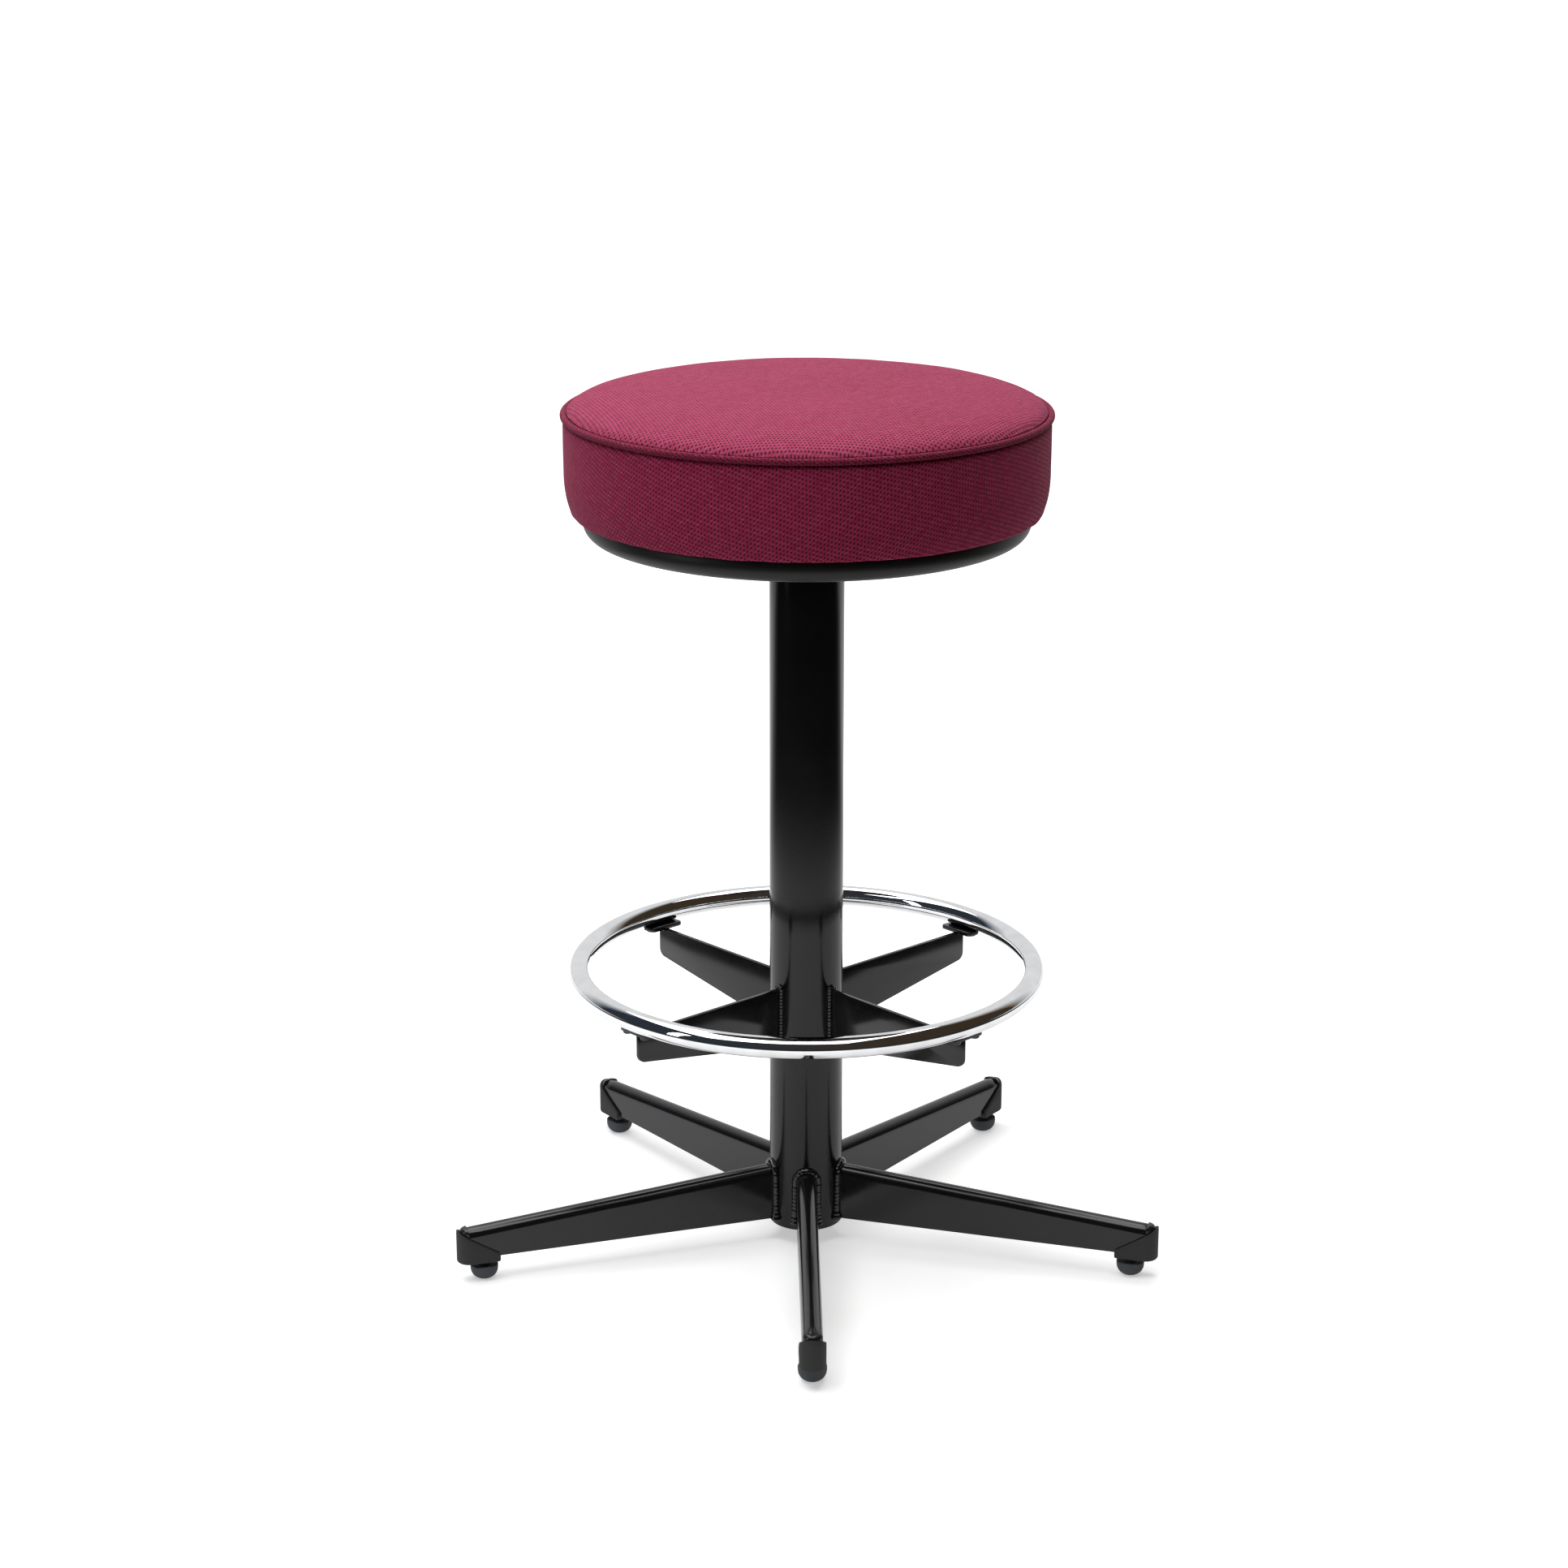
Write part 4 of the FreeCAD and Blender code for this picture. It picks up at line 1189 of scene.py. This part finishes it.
@dataclass
class Footrest:
    """Chrome ring on four upright plates, with tabs, screws and welds."""

    count: int = 4
    turn: float = -3.0
    ring_radius: float = 185.9 * MM
    tube_radius: float = 8.5 * MM
    ring_height: float = 236.2 * MM
    thick: float = 3.5 * MM
    tip: float = 182.0 * MM
    top: float = 224.7 * MM
    tip_depth: float = 24.5 * MM
    root_depth: float = 50.5 * MM
    corner: float = 7.0 * MM
    tab_inner: float = 173.0 * MM
    tab_outer: float = 187.0 * MM
    tab_half: float = 17.0 * MM
    tab_thick: float = 3.0 * MM
    screw_side: float = 10.5 * MM
    column_radius: float = 30.0 * MM

    def azimuth(self, index: int) -> float:
        """Azimuth of a bracket, in degrees."""
        return 45.0 + 90.0 * index + self.turn

    def bracket(self) -> Obj:
        """One plate along +X, deeper at the column, with a rounded lower outer corner."""
        root = self.column_radius - 0.4 * MM
        low_tip, low_root = self.top - self.tip_depth, self.top - self.root_depth
        slope = math.atan2(low_tip - low_root, self.tip - self.column_radius)
        reach = self.corner * math.tan((math.pi / 2 - slope) / 2)
        start = (self.tip - reach * math.cos(slope), low_tip - reach * math.sin(slope))
        centre = (self.tip - self.corner, low_tip + reach)
        first = math.degrees(math.atan2(start[1] - centre[1], start[0] - centre[0]))
        outline = [(root, low_root)] + arc(centre, self.corner, first, 0.0,
                                           10) + [(self.tip, self.top)]
        outline += [(root, self.top)]
        count = len(outline)
        points = [Vector((x, y, z)) for y in (-self.thick / 2, self.thick / 2) for x, z in outline]
        faces = [(i, (i + 1) % count, count + (i + 1) % count, count + i) for i in range(count)]
        faces += [tuple(range(count)), tuple(reversed(range(count, 2 * count)))]
        return bevelled(tidy_normals(mesh_piece("bracket_pattern", points, faces)), 0.4 * MM)

    def tab(self) -> Obj:
        """One tab along +X, under the ring."""
        r = 4.0 * MM
        outline = arc((self.tab_inner + r, self.tab_half - r), r, 90, 180, 6)
        outline += arc((self.tab_inner + r, -self.tab_half + r), r, 180, 270, 6)
        outline += arc((self.tab_outer - r, -self.tab_half + r), r, -90, 0, 6)
        outline += arc((self.tab_outer - r, self.tab_half - r), r, 0, 90, 6)
        return bevelled(prism("tab_pattern", outline, self.top, self.top + self.tab_thick),
                        0.35 * MM)

    def screw_head(self) -> Obj:
        """Pan head with a round dished recess, head down, at the origin."""
        low = -2.4 * MM
        profile = [(0.0, low + 1.0 * MM), (0.9 * MM, low + 0.9 * MM), (1.3 * MM, low + 0.05 * MM)]
        profile += spline([(1.5 * MM, low), (3.0 * MM, low + 0.25 * MM),
                           (3.8 * MM, low + 1.2 * MM),
                           (4.0 * MM, -0.05 * MM)], 3)[1:] + [(2.0 * MM, 0.0), (0.0, 0.0)]
        return lathe("screw_pattern", profile, 20, 40.0)

    def wires(self) -> Wires:
        """Paths of the beads up both sides of each bracket's root."""
        side = self.thick / 2 + 0.6 * MM
        low, high = self.top - self.root_depth + 2.0 * MM, self.top + 0.3 * MM
        rise = high - low
        line = [(-side, low + rise * k / 14) for k in range(15)]
        line += [(-side / 2, high + 0.9 * MM), (0.0, high + 1.1 * MM), (side / 2, high + 0.9 * MM)]
        line += [(side, high - rise * k / 14) for k in range(15)]
        root = [(self.column_radius + 0.4 * MM, y, z) for y, z in line]
        return wired(spun(self.azimuth(index), root) for index in range(self.count))

    def tab_wires(self) -> Wires:
        """Paths of the short beads between each tab and its bracket."""
        inner, outer = self.tab_inner + 1.5 * MM, self.tip - 2.0 * MM
        y, z = self.thick / 2 + 0.3 * MM, self.top - 0.5 * MM
        return wired(spun(self.azimuth(index), side_line(inner, outer, side * y, z))
                     for index in range(self.count) for side in (-1, 1))

    def build(self) -> None:
        """Build and dress the ring, brackets, tabs, screws and welds."""
        ring = torus("footrest_ring", self.ring_radius, self.tube_radius, self.ring_height, 360,
                     56)
        dressed(ring, "base", "chrome", [CHROME], ["foot_ring"])
        azimuths = [self.azimuth(index) for index in range(self.count)]
        repeated((Repeat(self.bracket(), "ring_bracket_{}", "base", "black_paint", BLACK_PAINT,
                         "bracket_{}"),
                  Repeat(self.tab(), "ring_seat_tab_{}", "base", "black_paint", BLACK_PAINT,
                         "ring_tab_{}")), azimuths)
        at = math.sqrt(self.ring_radius ** 2 - self.screw_side ** 2) - 2.5 * MM
        pair = [(at, side * self.screw_side, self.top) for side in (-1, 1)]
        spots = [spot for azimuth in azimuths for spot in spun(azimuth, pair)]
        head = self.screw_head()
        screws = grown("ring_screw_heads", spots, [], ScatterTree.tree(), Part=head, Jitter=1.2,
                       Seed=5, Material=BLACKED.material())
        shade(screws.data, 40.0)
        bpy.data.objects.remove(head)
        dressed(screws, "base", "black_screws", [BLACKED], ["ring_screws"])
        weld("bracket_weld_beads", "base", "bracket_welds", self.wires(), Radius=2.1 * MM,
             Ripple_Pitch=2.8 * MM, Ripple_Depth=0.18, End_Swell=0.3, Roughness=0.4, Seed=4.0)
        weld("tab_weld_beads", "base", "tab_welds", self.tab_wires(), Radius=1.3 * MM,
             Ripple_Pitch=2.0 * MM, Ripple_Depth=0.2, End_Swell=0.0, Roughness=0.4, Seed=6.0)


@dataclass
class SeatFrame:
    """Steel parts under the seat: ring, cross, hub plate, board, cloth, screws and staples."""

    ring_radius: float = 165.2 * MM
    tube_radius: float = 12.1 * MM
    ring_height: float = 612.6 * MM
    spider_half: float = 15.0 * MM
    spider_low: float = 618.7 * MM
    hub_radius: float = 60.0 * MM
    hub_low: float = 612.7 * MM
    boss_radius: float = 21.0 * MM
    staple_count: int = 56
    staple_circle: float = 152.3 * MM

    def plain_nodes(self) -> None:
        """Finishes for the CAD nodes of the hidden bearing, which need no other shape."""
        for node, finish in (("bearing_housing", ZINC), ("lower_bush", NYLON),
                             ("upper_bush", NYLON),
                             ("thrust_washer", NYLON), ("spindle", ZINC), ("end_washer", ZINC),
                             ("retaining_clip", ZINC), ("glide_inserts", ZINC)):
            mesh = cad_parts[node].data
            mesh.materials.clear()
            mesh.materials.append(finish.material())
            LOG.info("%s: finish %s", node, finish.name)

    def hub(self) -> Obj:
        """Round plate with a boss round the spindle."""
        low, high, e = self.hub_low, self.spider_low, 0.6 * MM
        bore = 12.55 * MM
        boss_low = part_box("hub_plate")[0].z
        outline = arc((self.hub_radius - e, low + e), e, -90, 0, 4)
        outline += arc((self.hub_radius - e, high - e), e, 0, 90, 4)
        outline += [(bore, high), (bore, boss_low)]
        outline += arc((self.boss_radius - e, boss_low + e), e, -90, 0, 4)
        outline += spline([(self.boss_radius, boss_low + 2 * e),
                           (self.boss_radius, low - 1.6 * MM),
                           (self.boss_radius + 0.5 * MM, low - 0.5 * MM),
                           (self.boss_radius + 1.8 * MM, low)], 4) \
            if low - boss_low > 4 * MM else [(self.boss_radius, low)]
        return lathe("hub_plate_disc", outline, 128, closed=True)

    def spider(self, index: int) -> Obj:
        """One flat arm of the cross, out over the ring."""
        low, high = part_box(f"spider_arm_{index + 1}")
        outline = [(low.x, low.y), (high.x, low.y), (high.x, high.y), (low.x, high.y)]
        return bevelled(prism(f"seat_cross_arm_{index + 1}", outline, low.z, high.z), 0.5 * MM)

    def cross_beads(self) -> Wires:
        """Wires on both sides of each cross arm where it lies on the ring and on the hub."""
        y, z = self.spider_half + 0.3 * MM, self.spider_low + 0.5 * MM
        return wired(spun(90.0 * index + 90.0, side_line(inner, outer, side * y, z))
                     for index in range(4) for side in (-1, 1)
                     for inner, outer in ((36.0 * MM, 56.0 * MM), (158.0 * MM, 172.0 * MM)))

    def staple(self) -> Obj:
        """Crown of a staple, lying flat under the board, at the origin."""
        r, half = 0.35 * MM, 5.0 * MM
        line = [(-half, 0.9 * MM), (-half, 0.3 * MM)] + [(-half + 0.3 * MM, 0.0),
                                                         (half - 0.3 * MM, 0.0)]
        line += [(half, 0.3 * MM), (half, 0.9 * MM)]
        points, sides = [], 6
        for y, z in line:
            points += [Vector((r * math.cos(TURN * k / sides), y,
                               z + r * math.sin(TURN * k / sides)))
                       for k in range(sides)]
        return tidy_normals(mesh_piece("staple_pattern", points,
                                       grid_faces(len(line), sides, False, True)), 60.0)

    def build(self) -> None:
        """Build and dress everything under the seat."""
        self.plain_nodes()
        ring = torus("under_seat_ring", self.ring_radius, self.tube_radius, self.ring_height, 320,
                     64)
        dressed(ring, "seat", "black_lacquer", [LACQUER], ["seat_ring"])
        dressed(self.hub(), "seat", "black_paint", [BLACK_PAINT], ["hub_plate"])
        for index in range(4):
            dressed(self.spider(index), "seat", "black_paint", [BLACK_PAINT],
                    [f"spider_arm_{index + 1}"])
        weld("cross_weld_beads", "seat", "spider_welds", self.cross_beads(), Radius=1.5 * MM,
             Ripple_Pitch=2.2 * MM, Ripple_Depth=0.2, End_Swell=0.0, Roughness=0.4, Seed=8.0)
        board_low, board_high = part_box("seat_board")
        rim, e = board_high.x, 0.8 * MM
        outline = [(0.0, board_low.z), (rim * 0.5, board_low.z)]
        outline += arc((rim - e, board_low.z + e), e, -90, 0,
                       4) + arc((rim - e, board_high.z - e), e, 0, 90, 4)
        outline += [(0.0, board_high.z)]
        dressed(lathe("plywood_board", outline, 160), "seat", "plywood", [PLYWOOD], ["seat_board"])
        cloth_low, cloth_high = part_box("dust_cover")
        edge = cloth_high.x
        outline = [(0.0, cloth_low.z), (edge * 0.5, cloth_low.z - 0.15 * MM),
                   (edge - 3 * MM, cloth_low.z),
                   (edge, cloth_low.z + 0.4 * MM), (edge, cloth_high.z), (0.0, cloth_high.z)]
        dressed(lathe("dust_cloth_disc", outline, 96), "seat", "dust_cloth", [DUST_CLOTH],
                ["dust_cover"])
        screws = node_copy("seat_screws", "seat_screw_set")
        dressed(screws, "seat", "black_screws", [BLACKED], ["seat_screws"])
        spots = []
        random.seed(11)
        for k in range(self.staple_count):
            a = TURN * (k + random.uniform(-0.18, 0.18)) / self.staple_count
            r = self.staple_circle + random.uniform(-0.6, 0.6) * MM
            spots.append(Vector((r * math.cos(a), r * math.sin(a), cloth_low.z - 0.1 * MM)))
        crown = self.staple()
        staples = grown("hem_staples", spots, [], ScatterTree.tree(), Part=crown, Jitter=0.12,
                        Seed=9,
                        Material=ZINC.material())
        bpy.data.objects.remove(crown)
        shade(staples.data, 60.0)
        dressed(staples, "seat", "steel", [ZINC])


@dataclass
class Cushion:
    """Round upholstered cushion with a piped seam; its cover is puffed by a cloth simulation."""

    side: float = 191.6 * MM
    seam: float = 696.8 * MM
    piping_ring: float = 191.0 * MM
    piping_radius: float = 2.7 * MM
    board_radius: float = 172.2 * MM
    board_top: float = 642.0 * MM
    hem_inner: float = 151.0 * MM
    hem_low: float = 625.5 * MM
    segments: int = 288
    voxel: float = 5.5 * MM
    pressure: float = 4.0
    cap: float = 5.0 * MM
    keep: float = 0.10
    sim_frames: int = 20
    soft_passes: int = 8

    def top_line(self) -> list[Point]:
        """Outline of the crown from the centre to the seam."""
        knots = [(0.0, 719.0), (45.0, 718.6), (90.0, 717.3), (125.0, 715.2), (150.0, 712.7),
                 (166.0, 710.2),
                 (177.0, 707.1), (184.5, 703.8), (188.6, 699.6)]
        return [(r * MM, z * MM) for r, z in spline(knots, 5)]

    def band_line(self) -> list[Point]:
        """Outline of the side from the seam to the lip under the board."""
        knots = [(188.4, 694.6), (190.7, 692.6), (191.5, 689.6), (191.6, 684.0), (191.65, 670.0),
                 (191.5, 656.0),
                 (191.4, 648.0), (190.8, 640.0), (189.4, 631.5), (187.3, 624.2), (186.2, 621.0),
                 (184.6, 619.7),
                 (182.6, 620.6), (178.6, 623.4), (172.5, 625.1)]
        return [(r * MM, z * MM) for r, z in spline(knots, 4)]

    def inner_line(self) -> list[Point]:
        """Outline of the hem under the board and of the cover's inside against the board."""
        low, high = self.hem_low, self.hem_low + 1.0 * MM
        line = [(0.162, low - 0.1 * MM), (self.hem_inner + 0.4 * MM, low),
                (self.hem_inner, low + 0.5 * MM),
                (self.hem_inner + 0.4 * MM, high), (0.162, high), (self.board_radius, high)]
        line += [(self.board_radius, high + (self.board_top - high) * k / 3) for k in range(1, 4)]
        return line + [(self.board_radius * share, self.board_top) for share in (0.66, 0.33, 0.0)]

    def sim_form(self) -> Obj:
        """Slightly smaller closed form that the cloth simulation starts from."""
        inset, sink = 2.0 * MM, 3.0 * MM
        line = [(max(0.0, r - inset * r / self.side), z - sink) for r, z in self.top_line()[::3]]
        line += [(r - inset, z) for r, z in self.band_line()[::3] if z > 0.6215 and r > 0.18]
        line += [(0.176, 0.6225), (0.09, 0.6225), (0.0, 0.6225)]
        form = lathe("cushion_form", line, 128, 60.0)
        remesh = form.modifiers.new("even", "REMESH")
        remesh.mode = "VOXEL"
        remesh.voxel_size = self.voxel
        return frozen(form)

    def puffed(self) -> tuple[list[Vector], list[Vector], list[tuple[int, ...]]]:
        """Run the cloth simulation.

        Returns:
            Vertices before and after it, and the faces.
        """
        form = self.sim_form()
        before = [v.co.copy() for v in form.data.vertices]
        faces = [tuple(p.vertices) for p in form.data.polygons]
        held = form.vertex_groups.new(name="held")
        for number, point in enumerate(before):
            radius = math.hypot(point.x, point.y)
            near_seam = 0.0
            if radius > 0.18:
                near_seam = max(0.0, 1.0 - abs(point.z - self.seam + 3 * MM) / (9 * MM))
            near_board = min(1.0, max(0.0, (0.645 - point.z) / 0.012))
            held.add([number], max(near_board, 0.5 * near_seam), "REPLACE")
        cloth = form.modifiers.new("cloth", "CLOTH")
        settings = cloth.settings
        settings.quality = 6
        settings.mass = 0.35
        settings.tension_stiffness = settings.compression_stiffness = 22.0
        settings.shear_stiffness = 12.0
        settings.bending_stiffness = 2.5
        settings.use_pressure = True
        settings.uniform_pressure_force = self.pressure
        settings.vertex_group_mass = "held"
        settings.effector_weights.gravity = 0.0
        settings.shrink_min = -0.006
        cloth.collision_settings.use_collision = False
        cloth.point_cache.frame_start, cloth.point_cache.frame_end = 1, self.sim_frames
        scene = bpy.context.scene
        for number in range(1, self.sim_frames + 1):
            scene.frame_set(number)
        frozen(form)
        scene.frame_set(1)
        after = [v.co.copy() for v in form.data.vertices]
        bpy.data.objects.remove(form)
        return before, after, faces

    def puff_map(self, rows: list[Point], normals: list[Point]) -> list[list[float]]:
        """How far the simulated cover stands off its own average, for each row and angle.

        Args:
            rows: the outline's points.
            normals: the outline's outward directions.

        Returns:
            Offsets in metres, row by row.
        """
        flat = [[0.0] * self.segments for _ in rows]
        before, after, faces = self.puffed()
        tree = BVHTree.FromPolygons(after, faces)
        for i, ((r, z), (nr, nz)) in enumerate(zip(rows, normals)):
            if r < 0.012 or z < 0.640:
                continue
            for k in range(self.segments):
                a = TURN * k / self.segments
                out = Vector((nr * math.cos(a), nr * math.sin(a), nz))
                start = Vector((r * math.cos(a), r * math.sin(a), z)) - out * 0.016
                hit = tree.ray_cast(start, out, 0.04)
                if hit[0] is not None:
                    flat[i][k] = hit[3] - 0.016
            mean = sum(flat[i]) / self.segments
            away = math.hypot(r - self.side, z - self.seam)
            share = self.keep * min(1.0, max(0.0, away - 0.004) / 0.03)
            flat[i] = [share * max(-self.cap,
                                   min(self.cap, value - mean)) for value in flat[i]]
        for _ in range(self.soft_passes):
            flat = self.softened(flat)
        return flat

    def softened(self, field: list[list[float]]) -> list[list[float]]:
        """The field averaged with its neighbours, round and along."""
        count, soft = self.segments, []
        for i, row in enumerate(field):
            above, below = field[max(i - 1, 0)], field[min(i + 1, len(field) - 1)]
            soft.append([(2 * row[k] + row[k - 1] + row[(k + 1) % count] + above[k] + below[k]) / 6
                         for k in range(count)])
        return soft

    def pucker(self, turn: float, r: float, z: float) -> float:
        """Small pulls along the seam and at the lip, and the foam's slow unevenness."""
        spot = Vector((math.cos(turn) * 2.2, math.sin(turn) * 2.2, z * 9.0))
        slow = 0.30 * MM * noise.noise(spot * 1.6)
        seam = math.exp(-((z - self.seam) / 0.010) ** 2) * (1.0 if r > 0.17 else 0.0)
        pulls = 0.16 * MM * noise.noise(Vector((math.cos(turn), math.sin(turn), 3.0)) * 17.0)
        lip = math.exp(-((z - 0.622) / 0.012) ** 2)
        folds = 0.45 * MM * noise.noise(Vector((math.cos(turn), math.sin(turn), 8.0)) * 11.0)
        return slow * min(1.0, r / 0.05) + seam * pulls + lip * folds

    def build(self) -> None:
        """Build and dress the cushion and its piping."""
        top, band, inner = self.top_line(), self.band_line(), self.inner_line()
        groove = [(187.5 * MM, self.seam)]
        soft_rows = top + groove + band
        rows = soft_rows + inner
        normals = []
        for i in range(len(soft_rows)):
            (r0, z0), (r1, z1) = soft_rows[max(i - 1, 0)], soft_rows[min(i + 1,
                                                                         len(soft_rows) - 1)]
            dr, dz = r1 - r0, z1 - z0
            size = math.hypot(dr, dz) or 1.0
            normals.append((-dz / size, dr / size))
        field = self.puff_map(soft_rows, normals)
        points = []
        for i, (r, z) in enumerate(rows):
            for k in range(self.segments):
                a = TURN * k / self.segments
                out_r, out_z = r, z
                if i < len(soft_rows):
                    push = field[i][k] + self.pucker(a, r, z)
                    nr, nz = normals[i]
                    out_r, out_z = r + nr * push * (1.0 if r > 1e-6 else 0.0), z + nz * push
                points.append(Vector((out_r * math.cos(a), out_r * math.sin(a), out_z)))
        pad = mesh_piece("seat_cushion", points,
                         grid_faces(len(rows), self.segments, False, True), 60.0)
        last_top, last_band = len(top), len(soft_rows) - 4
        for polygon in pad.data.polygons:
            row = polygon.index // self.segments
            polygon.material_index = 0 if row < last_top else (1 if row < last_band else 2)
        tidy_normals(pad, 62.0, 2e-6)
        dressed(pad, "seat", "seat_fabric", [TOP_CLOTH_PAINTED_SHEEN, BAND_CLOTH, HEM_CLOTH],
                ["foam_core", "cover_band", "cover_top"])
        line = []
        seam_row = len(top) - 1
        for k in range(self.segments):
            a = TURN * k / self.segments
            shift = field[seam_row][k] + self.pucker(a, self.side, self.seam) * 0.5
            radius = self.piping_ring + shift * 0.5
            line.append(Vector((radius * math.cos(a), radius * math.sin(a),
                                self.seam + shift * 0.5)))
        cord = grown("seat_piping", line, chain_edges(len(line), closed=True), BeadTree.tree(),
                     Radius=self.piping_radius, Ripple_Pitch=7.0 * MM, Ripple_Depth=0.03,
                     Roughness=0.05,
                     Sides=20, Seed=12.0, Material=BAND_CLOTH.material())
        tidy_normals(cord, 60.0)
        dressed(cord, "seat", "seat_fabric", [PIPING_CLOTH_SHADED], ["piping"])


# ---- studio ------------------------------------------------------------------------------

@dataclass
class Softbox:
    """A rectangular area light aimed at a point."""

    name: str
    at: Place
    size: tuple[float, float]
    power: float
    aim: Place = (0.0, 0.0, 0.4)

    def build(self) -> None:
        """Add the light."""
        light = bpy.data.lights.new(self.name, "AREA")
        light.shape = "RECTANGLE"
        light.size, light.size_y = self.size
        light.energy = self.power
        obj = link(bpy.data.objects.new(self.name, light))
        obj.location = self.at
        obj.rotation_euler = (Vector(self.aim) - Vector(self.at)).to_track_quat("-Z",
                                                                                "Y").to_euler()
        obj.visible_camera = False


@dataclass
class Studio:
    """Pale floor, white surroundings, softboxes and the camera."""

    camera_at: Place = (-0.0535, -2.7998, 1.2411)
    pitch: float = 16.857
    heading: float = -0.0126
    lens: float = 83.2
    floor: float = 60.0
    front: float = 0.04
    back: float = 0.74

    def build(self) -> None:
        """Add everything that isn't part of the stool."""
        scene = bpy.context.scene
        scene.view_settings.view_transform = "Standard"
        half = self.floor / 2
        ground = mesh_piece("studio_floor", [Vector((x, y, 0.0)) for x, y in
                                             ((-half, -half), (half, -half), (half, half),
                                              (-half, half))],
                            [(0, 1, 2, 3)])
        ground.data.materials.append(self.floor_finish())
        scene.world = self.surround()
        for box in (Softbox("softbox_top", (-0.35, 0.05, 2.5), (3.0, 2.6), 84.0),
                    Softbox("softbox_left", (-2.4, -1.2, 1.1), (0.3, 1.6), 7.0)):
            box.build()
        camera = bpy.data.cameras.new("camera")
        camera.lens, camera.sensor_width = self.lens, 36.0
        camera.clip_end = 200.0
        obj = link(bpy.data.objects.new("camera", camera))
        obj.location = self.camera_at
        obj.rotation_euler = (math.radians(90.0 - self.pitch), 0.0, self.heading)
        scene.camera = obj

    def surround(self) -> bpy.types.World:
        """White backdrop; the side behind the camera is dim, so that black surfaces stay black."""
        world = bpy.data.worlds.new("studio_surround")
        world.use_nodes = True
        graph = Graph(world.node_tree)
        facing = graph.add("ShaderNodeTexCoord").outputs["Generated"]
        depth = graph.add("ShaderNodeSeparateXYZ", {0: facing}).outputs[1]
        lit = graph.span(depth, 0.36, 0.68, self.front, self.back)
        seen = graph.add("ShaderNodeLightPath").outputs["Is Camera Ray"]
        strength = graph.math("MAXIMUM", lit, seen)
        side = graph.add("ShaderNodeSeparateXYZ", {0: facing}).outputs[0]
        dim = graph.blend(graph.span(side, -0.5, 0.5), rgba((0.62, 0.78, 1.0)),
                          rgba((1.0, 0.72, 0.48)))
        tint = graph.blend(graph.span(strength, 0.06, 0.40), dim, rgba((1.0, 1.0, 1.0)))
        backdrop = graph.add("ShaderNodeBackground", {"Color": tint, "Strength": strength})
        graph.add("ShaderNodeOutputWorld", {"Surface": backdrop.outputs[0]})
        return world

    def floor_finish(self) -> bpy.types.Material:
        """Pale floor, clear from below, that glows: an even white to the camera, while bounce and
        reflection rays find a painted pool of light near the stool and a dim floor far out behind
        the camera.
        """
        material = bpy.data.materials.new("studio_floor_paint")
        material.use_nodes = True
        graph = Graph(material.node_tree)
        place = graph.add("ShaderNodeTexCoord").outputs["Object"]
        away = graph.add("ShaderNodeVectorMath", {0: place}, operation="LENGTH").outputs["Value"]
        depth = graph.add("ShaderNodeSeparateXYZ", {0: place}).outputs[1]
        seen = graph.add("ShaderNodeLightPath").outputs["Is Camera Ray"]
        outer = graph.math("MULTIPLY", graph.span(away, 0.95, 1.25),
                           graph.span(depth, 0.40, 1.20, 1.0, 0.0))
        # painted light: a bright pool near the stool and dim far out, for bounce and reflection rays
        # only
        painted_light_pool = graph.blend(outer, rgba((0.76, 0.76, 0.76)), rgba((0.05, 0.05, 0.05)))
        tone = graph.blend(seen, painted_light_pool, rgba((0.88, 0.88, 0.88)))
        # the floor glows: evenly white for the camera, and a painted pool of light near the stool
        # for other rays
        wide = graph.span(away, 0.5, 1.6, 0.45, 1.0)
        lift = graph.math("MULTIPLY", wide,
                          graph.math("MAXIMUM", seen, graph.math("SUBTRACT", 0.5, outer)))
        shader = graph.add("ShaderNodeBsdfPrincipled", {"Base Color": tone, "Roughness": 0.9,
                                                        "Emission Color": (1.0, 1.0, 1.0, 1.0),
                                                        "Emission Strength": lift})
        shader.inputs["Specular IOR Level"].default_value = 0.1
        below = graph.add("ShaderNodeNewGeometry").outputs["Backfacing"]
        graph.tree.links.new(graph.math("SUBTRACT", 1.0, below), shader.inputs["Alpha"])
        graph.add("ShaderNodeOutputMaterial", {"Surface": shader.outputs[0]})
        return material


def main() -> None:
    logging.basicConfig(level=logging.INFO, format="%(name)s: %(message)s")
    Studio().build()
    for part in (Column(), StarBase(), Footrest(), SeatFrame(), Cushion()):
        part.build()


if __name__ == "__main__":
    main()
